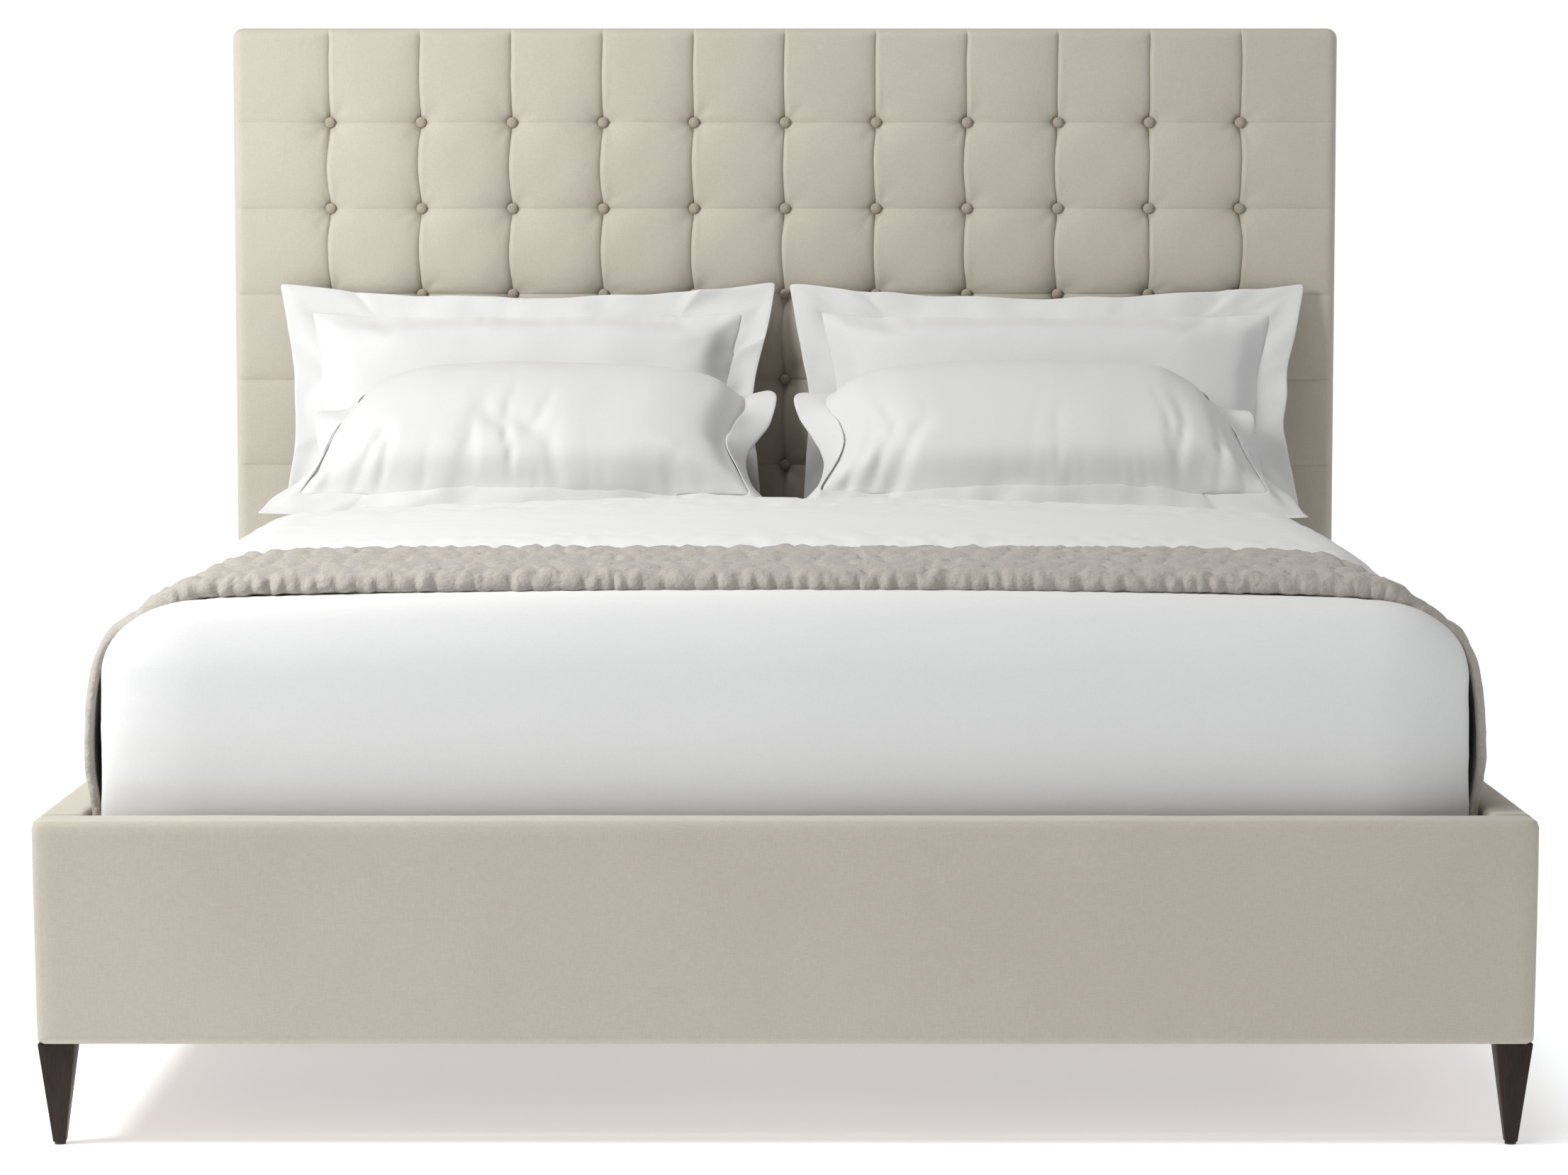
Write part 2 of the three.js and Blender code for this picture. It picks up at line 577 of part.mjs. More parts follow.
// The mattress's rounded form, grown outwards at the sides and the foot and upwards by rise.
function mattressForm({ side = 0, foot = 0, rise = 0, headY = MATTRESS_HEAD, bottom = MATTRESS_BOTTOM }) {
  const half = MATTRESS_HALF + side;
  const ys = [MATTRESS_FOOT - foot, headY];
  const zs = [bottom, MATTRESS_TOP + rise];
  const [cornerX, cornerZ] = MATTRESS_CORNER;
  const end = MATTRESS_FOOT_CORNER + foot;
  const across = alongY(archShape([-half, half], zs, [cornerX + side, cornerZ + rise]), ys);
  return across.intersect(alongX(archShape(ys, zs, [end, end]), [-half, half], 4));
}

// Comforter and top sheet: thin over the foot and under the coverlet, lofty up to the pillows.
function comforter() {
  const grown = SOFT_GAP + SHEET;
  const outside = { side: grown, foot: grown, headY: COMFORTER_END, bottom: BEDDING_BOTTOM };
  const top = MATTRESS_TOP + grown;
  const loft = top + COMFORTER_RISE;
  const start = COVERLET_BACK + SHEET;
  const ramp = new THREE.Shape();
  ramp.moveTo(start, BEDDING_BOTTOM);
  ramp.lineTo(COMFORTER_END, BEDDING_BOTTOM);
  ramp.lineTo(COMFORTER_END, loft - COMFORTER_EDGE);
  ramp.absarc(COMFORTER_END - COMFORTER_EDGE, loft - COMFORTER_EDGE, COMFORTER_EDGE, 0, Math.PI / 2);
  ramp.lineTo(start + COMFORTER_RAMP, loft);
  ramp.lineTo(start, top);
  const half = MATTRESS_HALF + grown;
  const low = mattressForm({ ...outside, rise: grown });
  const high = mattressForm({ ...outside, rise: grown + COMFORTER_RISE });
  const inside = mattressForm({ side: SOFT_GAP, foot: SOFT_GAP, rise: SOFT_GAP, bottom: 0 });
  return low.add(high.intersect(alongX(ramp, [-half, half], 3))).subtract(inside);
}

// The quilted coverlet, folded double and laid across the foot, its ends hanging inside the rails.
function coverlet() {
  const ys = [COVERLET_FRONT, COVERLET_BACK];
  const half = COVERLET_INSIDE + COVERLET_SIDE;
  const under = MATTRESS_TOP + COVERLET_INSIDE - MATTRESS_HALF;
  const zs = [BEDDING_BOTTOM, under + COVERLET_TOP];
  const [cornerX, cornerZ] = MATTRESS_CORNER;
  const corner = ([x1, z1]) => [cornerX + x1 - MATTRESS_HALF, cornerZ + z1 - MATTRESS_TOP];
  const across = alongY(archShape([-half, half], zs, corner([half, zs[1]])), ys);
  const edges = alongX(archShape(ys, zs, [COVERLET_EDGE, COVERLET_EDGE]), [-half, half], 3);
  const hollow = archShape([-COVERLET_INSIDE, COVERLET_INSIDE], [0, under], corner([COVERLET_INSIDE, under]));
  return across.intersect(edges).subtract(alongY(hollow, [ys[0] - 1, ys[1] + 1]));
}

// A filled pillow with a flat flange round it, drawn upright in X and Z with its face towards -Y.
function pillowGeometry() {
  const halfW = PILLOW_WIDTH / 2;
  const halfH = PILLOW_HEIGHT / 2;
  const hem = 2;
  const bodyW = halfW - PILLOW_FLANGE;
  const bodyH = halfH - PILLOW_FLANGE;
  const steps = [0.45, 0.8, 1];
  const lines = (body, end) => {
    const right = steps.map((s) => s * body);
    return [-end, ...right.map((s) => -s).reverse(), 0, ...right, end];
  };
  const swell = (s) => Math.sqrt(Math.max(0, 1 - s * s));
  const half = (u, v) =>
    Math.max(hem, (PILLOW_THICKNESS / 2) * swell(Math.min(1, u / bodyW)) * swell(Math.min(1, v / bodyH)));
  const front = (u, v) => [u, -half(Math.abs(u), Math.abs(v)), v];
  const back = (u, v) => [u, half(Math.abs(u), Math.abs(v)), v];
  return slab(lines(bodyW, halfW), lines(bodyH, halfH), front, back);
}

function pillow(name, side, lean, edge) {
  const mesh = named(name, pillowGeometry(), linen);
  const tilt = THREE.MathUtils.degToRad(lean);
  const rise = PILLOW_HEIGHT / 2;
  mesh.rotation.x = -tilt;
  mesh.position.set(
    side * (PILLOW_GAP / 2 + PILLOW_WIDTH / 2),
    edge + rise * Math.sin(tilt),
    MATTRESS_TOP + PILLOW_SEAT + rise * Math.cos(tilt),
  );
  return mesh;
}

function pillows() {
  const group = new THREE.Group();
  const shamReach = PILLOW_HEIGHT * Math.sin(THREE.MathUtils.degToRad(SHAM_LEAN));
  const shamEdge = PAD_FRONT - SHAM_HEAD_CLEARANCE - shamReach;
  for (const [side, word] of [[-1, "left"], [1, "right"]])
    group.add(
      pillow(`sham_${word}`, side, SHAM_LEAN, shamEdge),
      pillow(`pillow_${word}`, side, FRONT_LEAN, COMFORTER_END + FRONT_PILLOW_START),
    );
  return group;
}

function bedding() {
  const group = new THREE.Group();
  group.add(
    named("mattress", mattressForm({}), ticking),
    named("comforter", comforter(), linen),
    named("coverlet", coverlet(), quilt),
    pillows(),
  );
  return group;
}

// ---------- the bed ----------
const bed = new THREE.Group();
bed.position.y = -OVERALL_DEPTH / 2;
bed.add(
  headboard(),
  footboard(),
  sideRail(-1, "left"),
  sideRail(1, "right"),
  cornerBrackets(),
  slats(),
  centerSupport(),
  legs(),
  foundations(),
  bedding(),
);

const root = new THREE.Group();
root.add(bed);
export default root;
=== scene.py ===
import json
import math

import bmesh
import bpy
import numpy as np
from mathutils import Matrix, Vector

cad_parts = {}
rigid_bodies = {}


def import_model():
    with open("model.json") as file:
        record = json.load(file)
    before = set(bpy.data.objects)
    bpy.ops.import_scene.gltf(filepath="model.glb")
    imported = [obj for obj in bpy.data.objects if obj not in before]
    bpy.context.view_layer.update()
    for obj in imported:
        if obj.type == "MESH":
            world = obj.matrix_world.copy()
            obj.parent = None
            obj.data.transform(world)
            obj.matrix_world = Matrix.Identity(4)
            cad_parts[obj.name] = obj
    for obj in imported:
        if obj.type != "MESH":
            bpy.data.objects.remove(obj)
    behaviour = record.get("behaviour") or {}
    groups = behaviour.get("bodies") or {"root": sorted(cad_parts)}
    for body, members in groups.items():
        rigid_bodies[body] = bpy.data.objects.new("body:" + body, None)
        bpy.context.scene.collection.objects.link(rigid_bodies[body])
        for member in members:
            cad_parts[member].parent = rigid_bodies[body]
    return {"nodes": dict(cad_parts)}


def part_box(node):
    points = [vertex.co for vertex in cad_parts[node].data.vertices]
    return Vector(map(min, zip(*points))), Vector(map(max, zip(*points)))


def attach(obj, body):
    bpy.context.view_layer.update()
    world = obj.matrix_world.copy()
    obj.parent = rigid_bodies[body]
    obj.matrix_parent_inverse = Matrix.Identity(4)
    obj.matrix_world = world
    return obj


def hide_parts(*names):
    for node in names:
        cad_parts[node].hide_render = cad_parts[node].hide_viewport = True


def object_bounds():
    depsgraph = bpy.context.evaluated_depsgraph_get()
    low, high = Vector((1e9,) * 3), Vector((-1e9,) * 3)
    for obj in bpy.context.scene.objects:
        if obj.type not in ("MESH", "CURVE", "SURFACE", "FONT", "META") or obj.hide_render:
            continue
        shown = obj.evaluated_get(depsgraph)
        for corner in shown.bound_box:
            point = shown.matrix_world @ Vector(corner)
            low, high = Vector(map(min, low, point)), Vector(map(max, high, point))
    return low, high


bl_info = {
    "name": "Upholstered Headboard Bed",
    "version": (1, 0, 0),
    "blender": (4, 5, 0),
    "location": "3D View > Sidebar > Bed",
    "description": "Makes the covers, padding, bedding and finishes of a tufted headboard bed",
    "category": "Object",
}

for left_over in list(bpy.data.objects):
    bpy.data.objects.remove(left_over)
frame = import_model()
CAD_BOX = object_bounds()


# ---------------------------------------------------------------- settings


def length(name, description, default):
    return bpy.props.FloatProperty(name=name, description=description, default=default, unit="LENGTH", precision=4)


def colour(name, description, default):
    return bpy.props.FloatVectorProperty(
        name=name, description=description, default=default, subtype="COLOR", size=3, min=0.0, max=1.0
    )


class BedHeadboardSettings(bpy.types.PropertyGroup):
    crown: length("Crown", "How far a puff falls away from its middle to its seams", 0.0075)
    dimple: length("Dimple", "Depth of the dimple that a button pulls", 0.0135)
    pleat: length("Pleat", "Depth of the upright pleats between the buttons", 0.0110)
    channel: length("Channel", "Depth of the level channels between the buttons", 0.0038)
    bow: length("Pleat bow", "How far a pleat bows to one side between two buttons", 0.0055)
    edge: length("Edge radius", "Rounding of the pad's outer edge", 0.020)
    creases: length("Creases", "Depth of the small creases round a button", 0.0010)


class BedFrameSettings(bpy.types.PropertyGroup):
    cover_edge: length("Cover edge radius", "Rounding of the footboard's and rails' padded edges", 0.011)
    cover_slack: length("Cover slack", "Unevenness of the tight covers", 0.0009)
    cover_wall: length("Cover thickness", "Cloth and wadding over the timber", 0.008)
    leg_foot: length("Leg foot width", "Width of a leg at its foot", 0.0175)
    leg_edge: length("Leg edge radius", "Rounding of a leg's long edges", 0.0022)


class BedBeddingSettings(bpy.types.PropertyGroup):
    pillow_loft: length("Pillow loft", "Thickness of a pillow at its middle", 0.158)
    pillow_border: length("Pillow border", "Width of the flat border round a pillow", 0.050)
    comforter_wall: length("Comforter thickness", "Thickness of the comforter's hanging sides", 0.009)
    comforter_lumps: length("Comforter lumps", "Height of the comforter's soft lumps", 0.006)
    pucker: length("Pucker", "Height of the coverlet's puckers", 0.0125)


class BedFinishSettings(bpy.types.PropertyGroup):
    upholstery: colour("Upholstery", "Linen-look cover of the headboard, footboard and rails", (0.475, 0.441, 0.364))
    button: colour("Buttons", "Cloth of the covered buttons", (0.34, 0.295, 0.225))
    white_linen: colour("White linen", "Comforter", (0.72, 0.72, 0.712))
    # the pillows' colour is the comforter's white linen painted darker: painted shade that tones down the stronger
    # light falling on the shams and pillows
    pillow_linen: colour("Pillow linen", "Shams and pillows", (0.62, 0.62, 0.612))
    coverlet: colour("Coverlet", "Quilted cotton coverlet", (0.395, 0.364, 0.322))
    ticking: colour("Ticking", "Mattress cover", (0.72, 0.71, 0.68))
    espresso: colour("Espresso wood", "Stained legs", (0.021, 0.011, 0.007))
    pine: colour("Pine", "Frame timber and slats", (0.62, 0.43, 0.24))
    backing: colour("Backing cloth", "Dust cloth behind the headboard", (0.045, 0.044, 0.043))


SETTINGS = {
    "bed_headboard": BedHeadboardSettings,
    "bed_frame": BedFrameSettings,
    "bed_bedding": BedBeddingSettings,
    "bed_finish": BedFinishSettings,
}


# ---------------------------------------------------------------- materials


def node(tree, kind, inputs=(), **settings):
    """A shader node whose inputs are sockets or plain values."""
    made = tree.nodes.new(kind)
    for key, value in settings.items():
        setattr(made, key, value)
    for key, value in dict(inputs).items():
        if isinstance(value, bpy.types.NodeSocket):
            tree.links.new(value, made.inputs[key])
        else:
            made.inputs[key].default_value = value
    return made


def new_material(name, roughness, sheen=0.0, metallic=0.0, coat=0.0, sheen_roughness=0.5):
    """A material with its shader, its tree and Object coordinates."""
    made = bpy.data.materials.new(name)
    made.use_nodes = True
    tree = made.node_tree
    shader = tree.nodes["Principled BSDF"]
    shader.inputs["Roughness"].default_value = roughness
    shader.inputs["Metallic"].default_value = metallic
    shader.inputs["Sheen Weight"].default_value = sheen
    shader.inputs["Sheen Roughness"].default_value = sheen_roughness
    shader.inputs["Coat Weight"].default_value = coat
    coords = tree.nodes.new("ShaderNodeTexCoord").outputs["Object"]
    return made, tree, shader, coords


def streaks(tree, coords, stretch, scale, detail=3.0):
    """Noise drawn out along one direction."""
    turned = node(tree, "ShaderNodeMapping", {"Vector": coords, "Scale": stretch}).outputs["Vector"]
    return node(tree, "ShaderNodeTexNoise", {"Vector": turned, "Scale": scale, "Detail": detail}).outputs["Fac"]


def average(tree, *values):
    total = values[0]
    for value in values[1:]:
        total = node(tree, "ShaderNodeMath", {0: total, 1: value}, operation="ADD").outputs[0]
    return node(tree, "ShaderNodeMath", {0: total, 1: 1.0 / len(values)}, operation="MULTIPLY").outputs[0]


def between(tree, fac, dark, light, low=0.35, high=0.65):
    """Colour running from dark to light as fac goes from low to high."""
    ramp = node(tree, "ShaderNodeValToRGB", {"Fac": fac})
    ramp.color_ramp.elements[0].position = low
    ramp.color_ramp.elements[1].position = high
    ramp.color_ramp.elements[0].color = (*dark, 1.0)
    ramp.color_ramp.elements[1].color = (*light, 1.0)
    return ramp.outputs["Color"]


def shaded(base, factor):
    return tuple(min(1.0, c * factor) for c in base)


def mottled(tree, coords, base, scale, amount):
    """Base colour times a broad, faint unevenness."""
    broad = node(tree, "ShaderNodeTexNoise", {"Vector": coords, "Scale": scale, "Detail": 3.0}).outputs["Fac"]
    tint = between(tree, broad, (1 - amount,) * 3, (1.0,) * 3, 0.3, 0.7)
    return node(tree, "ShaderNodeMix", {0: 1.0, 6: base, 7: tint}, data_type="RGBA", blend_type="MULTIPLY").outputs[2]


def woven(name, base, contrast, thread, strength, distance, sheen, roughness, broad=2.5, amount=0.05):
    """Plain-woven cloth: slubby threads both ways, a faint unevenness and a weave in the bump."""
    made, tree, shader, coords = new_material(name, roughness, sheen=sheen)
    across = streaks(tree, coords, (0.14, 1.0, 1.0), thread)
    along = streaks(tree, coords, (1.0, 0.14, 1.0), thread)
    upright = streaks(tree, coords, (1.0, 1.0, 0.14), thread)
    threads = average(tree, across, along, upright)
    cloth = between(tree, threads, shaded(base, 1 - contrast), shaded(base, 1 + contrast * 0.8), 0.42, 0.58)
    tree.links.new(mottled(tree, coords, cloth, broad, amount), shader.inputs["Base Color"])
    bump = node(tree, "ShaderNodeBump", {"Strength": strength, "Distance": distance, "Height": threads})
    tree.links.new(bump.outputs["Normal"], shader.inputs["Normal"])
    return made


def crinkled(made, scale, distance):
    """Adds small creases between a coverlet's stitches to a woven cloth."""
    tree = made.node_tree
    coords = next(n for n in tree.nodes if n.type == "TEX_COORD").outputs["Object"]
    weave = next(n for n in tree.nodes if n.type == "BUMP")
    creases = node(tree, "ShaderNodeTexNoise", {"Vector": coords, "Scale": scale, "Detail": 2.0, "Distortion": 0.6})
    height = creases.outputs["Fac"]
    under = node(tree, "ShaderNodeBump", {"Strength": 0.5, "Distance": distance, "Height": height})
    tree.links.new(under.outputs["Normal"], weave.inputs["Normal"])
    return made


def timber(name, base, stretch, scale, roughness, coat, contrast=0.35, depth=0.0003, gloss=0.5):
    """Sawn or stained wood with its grain along stretch's short side."""
    made, tree, shader, coords = new_material(name, roughness, coat=coat)
    shader.inputs["Specular IOR Level"].default_value = gloss
    grain = streaks(tree, coords, stretch, scale, 6.0)
    fine = streaks(tree, coords, stretch, scale * 5.0, 3.0)
    both = average(tree, grain, fine)
    wood = between(tree, both, shaded(base, 1 - contrast), shaded(base, 1 + contrast), 0.36, 0.64)
    tree.links.new(wood, shader.inputs["Base Color"])
    bump = node(tree, "ShaderNodeBump", {"Strength": 0.25, "Distance": depth, "Height": both})
    tree.links.new(bump.outputs["Normal"], shader.inputs["Normal"])
    return made


def plain_grained(name, base, roughness, scale, strength, metallic=0.0, contrast=0.12):
    """Steel or moulded nylon with a fine, even grain."""
    made, tree, shader, coords = new_material(name, roughness, metallic=metallic)
    grain = node(tree, "ShaderNodeTexNoise", {"Vector": coords, "Scale": scale, "Detail": 4.0}).outputs["Fac"]
    tone = between(tree, grain, shaded(base, 1 - contrast), shaded(base, 1 + contrast))
    tree.links.new(tone, shader.inputs["Base Color"])
    bump = node(tree, "ShaderNodeBump", {"Strength": strength, "Distance": 0.0002, "Height": grain})
    tree.links.new(bump.outputs["Normal"], shader.inputs["Normal"])
    return made


# cloth: its colour setting, contrast, threads, bump strength and distance, sheen, roughness, and the broad unevenness
LINEN = (0.02, 700.0, 0.18, 0.0004, 0.12, 0.85, 3.0, 0.015)
FABRICS = {
    "upholstery": ("upholstery", 0.055, 620.0, 0.22, 0.0005, 0.35, 0.9, 4.0, 0.05),
    "button_fabric": ("button", 0.16, 600.0, 0.35, 0.0006, 0.2, 0.85),
    "white_linen": ("white_linen", *LINEN),
    # the pillow finish is the same linen with painted shade in its colour, darker than the comforter's
    "pillow_linen": ("pillow_linen", *LINEN),
    "quilted_cotton": ("coverlet", 0.09, 520.0, 0.4, 0.0006, 0.25, 0.88, 6.0, 0.06),
    "ticking": ("ticking", 0.05, 500.0, 0.3, 0.0005, 0.15, 0.85),
    "backing_cloth": ("backing", 0.3, 900.0, 0.3, 0.0003, 0.1, 0.9),
}


def make_finish(name):
    """The named finish, made from the scene's colours."""
    tone = bpy.context.scene.bed_finish
    if name in FABRICS:
        made = woven(name, tuple(getattr(tone, FABRICS[name][0])), *FABRICS[name][1:])
        return crinkled(made, 75.0, 0.006) if name == "quilted_cotton" else made
    if name == "espresso_wood":
        return timber(name, tuple(tone.espresso), (1.0, 1.0, 0.08), 90.0, 0.5, 0.06, 0.4, 0.0002, 0.2)
    if name == "pine":
        return timber(name, tuple(tone.pine), (0.35, 0.06, 1.0), 60.0, 0.65, 0.0)
    if name == "plywood":
        return timber(name, shaded(tuple(tone.pine), 1.05), (0.3, 1.0, 0.05), 40.0, 0.7, 0.0, 0.22)
    if name == "steel":
        return plain_grained(name, (0.46, 0.46, 0.47), 0.38, 300.0, 0.15, 0.9)
    return plain_grained("nylon", (0.03, 0.03, 0.032), 0.55, 900.0, 0.3)


def finish(name):
    return bpy.data.materials.get("bed_" + name) or rename(make_finish(name), "bed_" + name)


def rename(thing, name):
    thing.name = name
    return thing


# ---------------------------------------------------------------- shaping


def lumps(points, size, seed):
    """Smooth unevenness from -1 to 1 at points, with lumps about size metres across."""
    table = np.random.default_rng(seed).uniform(-1.0, 1.0, 8192)
    q = np.asarray(points, dtype=np.float64) / size
    low = np.floor(q).astype(np.int64)
    f = q - low
    f = f * f * (3.0 - 2.0 * f)
    total = np.zeros(len(q))
    for corner in range(8):
        pick = [(corner >> axis) & 1 for axis in range(3)]
        key = sum((low[:, a] + pick[a]) * prime for a, prime in enumerate((73856093, 19349663, 83492791)))
        weight = np.ones(len(q))
        for a in range(3):
            weight = weight * (f[:, a] if pick[a] else 1.0 - f[:, a])
        total += weight * table[key % 8192]
    return total


def swell(points, size, seed):
    """Smooth unevenness from 0 to 1, as lumps gives it."""
    return 0.5 + 0.5 * lumps(points, size, seed)


def stacked(*parts):
    """Rows of three from arrays and plain numbers."""
    return np.stack(np.broadcast_arrays(*parts), axis=1)


def step(value, low, high):
    """0 below low, 1 above high, and smooth between."""
    t = np.clip((value - low) / (high - low), 0.0, 1.0)
    return t * t * (3.0 - 2.0 * t)


def points_of(bm):
    return np.array([v.co[:] for v in bm.verts], dtype=np.float64).reshape(-1, 3)


def extruded(bm, edges):
    """Extrudes edges, and gives the new vertices and the new edges."""
    made = bmesh.ops.extrude_edge_only(bm, edges=edges)["geom"]
    return [[g for g in made if isinstance(g, kind)] for kind in (bmesh.types.BMVert, bmesh.types.BMEdge)]


def set_points(bm, points):
    for vert, point in zip(bm.verts, points):
        vert.co = point


def normals_of(bm):
    bm.normal_update()
    return np.array([v.normal[:] for v in bm.verts])


def cloth_grid(columns, rows, place):
    """A grid whose vertices are moved to place(u, v), with u and v from 0 to 1."""
    bm = bmesh.new()
    bmesh.ops.create_grid(bm, x_segments=columns, y_segments=rows, size=1.0)
    flat = points_of(bm)
    set_points(bm, place((flat[:, 0] + 1.0) / 2.0, (flat[:, 1] + 1.0) / 2.0))
    return bm


SIDES = {
    "front": ((1, 0, 0), (0, 0, 1), (0, -1, 0)),
    "back": ((-1, 0, 0), (0, 0, 1), (0, 1, 0)),
    "right": ((0, 1, 0), (0, 0, 1), (1, 0, 0)),
    "left": ((0, -1, 0), (0, 0, 1), (-1, 0, 0)),
    "top": ((1, 0, 0), (0, 1, 0), (0, 0, 1)),
    "bottom": ((1, 0, 0), (0, -1, 0), (0, 0, -1)),
}


def soft_box(low, high, spacing, low_radii, high_radii, sides=tuple(SIDES)):
    """A box of one grid for each side named, with its edges rounded by a radius for each axis end."""
    low, high = np.array(low, dtype=float), np.array(high, dtype=float)
    size, middle = high - low, (low + high) / 2.0
    counts = [max(2, round(s / w)) for s, w in zip(size, spacing)]
    bm = bmesh.new()
    for side in sides:
        across, upward, outward = (np.array(d, dtype=float) for d in SIDES[side])
        a, b = int(np.argmax(np.abs(across))), int(np.argmax(np.abs(upward)))
        columns = [across * size[a] / 2.0, upward * size[b] / 2.0, outward, middle + outward * size / 2.0]
        matrix = Matrix([[c[row] for c in columns] for row in range(3)] + [[0, 0, 0, 1]])
        bmesh.ops.create_grid(bm, x_segments=counts[a], y_segments=counts[b], size=1.0, matrix=matrix)
    bmesh.ops.remove_doubles(bm, verts=bm.verts, dist=1e-5)
    points = points_of(bm)
    low_radii, high_radii = np.array(low_radii, dtype=float), np.array(high_radii, dtype=float)
    inner = np.clip(points, low + low_radii, high - high_radii)
    offset = points - inner
    radii = np.where(offset < 0, low_radii, high_radii)
    q = np.divide(offset, radii, out=np.zeros_like(offset), where=radii > 0)
    length_2 = np.linalg.norm(q, axis=1)
    scale = np.divide(np.abs(q).max(axis=1), length_2, out=np.ones_like(length_2), where=length_2 > 0)
    flat = np.where(radii > 0, q * radii * scale[:, None], offset)
    set_points(bm, inner + flat)
    return bm


def mesh_of(name, bm):
    mesh = bpy.data.meshes.new(name)
    bm.to_mesh(mesh)
    bm.free()
    return mesh


def linked(name, data):
    """A new object of the scene."""
    made = bpy.data.objects.new(name, data)
    bpy.context.scene.collection.objects.link(made)
    return made


def add_piece(name, bm, finish_name, body, nodes=(), smooth=True):
    """Links a finished mesh as a piece that rides on a body and stands for CAD nodes."""
    mesh = mesh_of(name, bm)
    mesh.polygons.foreach_set("use_smooth", [smooth] * len(mesh.polygons))
    mesh.materials.append(finish(finish_name))
    piece = linked(name, mesh)
    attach(piece, body)
    if nodes:
        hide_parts(*nodes)
    return piece


def wall(piece, thickness):
    """Gives a cloth skin its thickness, inwards."""
    made = piece.modifiers.new("Wall", "SOLIDIFY")
    made.thickness = thickness
    made.offset = -1.0
    made.use_even_offset = False
    return made


def rounded(piece, width, segments=3):
    made = piece.modifiers.new("Edges", "BEVEL")
    made.width = width
    made.segments = segments
    made.limit_method = "ANGLE"
    made.harden_normals = False
    return made


def corner(node_name):
    """The low and high corners of a CAD node as numpy vectors."""
    low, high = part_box(node_name)
    return np.array(low), np.array(high)


def bevel_all(bm, width, segments=3):
    bmesh.ops.bevel(
        bm,
        geom=bm.edges[:],
        offset=width,
        offset_type="OFFSET",
        affect="EDGES",
        segments=segments,
        profile=0.5,
        material=-1,
        clamp_overlap=True,
    )


def block(low, high):
    """A bmesh box between two corners."""
    low, high = Vector(low), Vector(high)
    bm = bmesh.new()
    place = Matrix.Translation((low + high) / 2) @ Matrix.Diagonal((*(high - low), 1.0))
    bmesh.ops.create_cube(bm, size=1.0, matrix=place)
    return bm


# ---------------------------------------------------------------- headboard


def cell_places(stops, offsets, far):
    """Places along a row of cells, close together at each stop and spread out between."""
    places = []
    for start, end in zip(stops, stops[1:]):
        half = (end - start) / 2.0
        near = [o for o in offsets if o < half * 0.93]
        spare = max(1, round((half - near[-1]) / far))
        near += [near[-1] + (half - near[-1]) * k / spare for k in range(1, spare)]
        places += [start + o for o in near] + [(start + end) / 2.0] + [end - o for o in reversed(near)][:-1]
    return np.array(places + [stops[-1]])


def tufting():
    """Column places, row places and the button's front face, read from the CAD's rows of buttons."""
    boxes = [corner("tufting_row_%d" % n) for n in range(1, 6)]
    radius = (boxes[0][1][2] - boxes[0][0][2]) / 2.0
    last = boxes[0][1][0] - radius
    columns = np.linspace(-last, last, 11)
    rows = sorted((low[2] + high[2]) / 2.0 for low, high in boxes)
    return columns, np.array(rows), radius, boxes[0][0][1], boxes[0][1][1]


# how closely the cover's cells stand beside the pleats and beside the channels
PLEAT_CELLS = (0, 0.0009, 0.002, 0.0034, 0.0052, 0.0078, 0.0115, 0.0165, 0.023, 0.031, 0.042, 0.056)
CHANNEL_CELLS = (0, 0.0013, 0.003, 0.0052, 0.0082, 0.012, 0.0165, 0.0225, 0.030, 0.040, 0.053)
# long creases from a button: direction, reach and depth
LONG_CREASES = ((0.75, 0.055, 0.0013), (2.45, 0.045, 0.0008), (-0.8, 0.045, 0.0007))


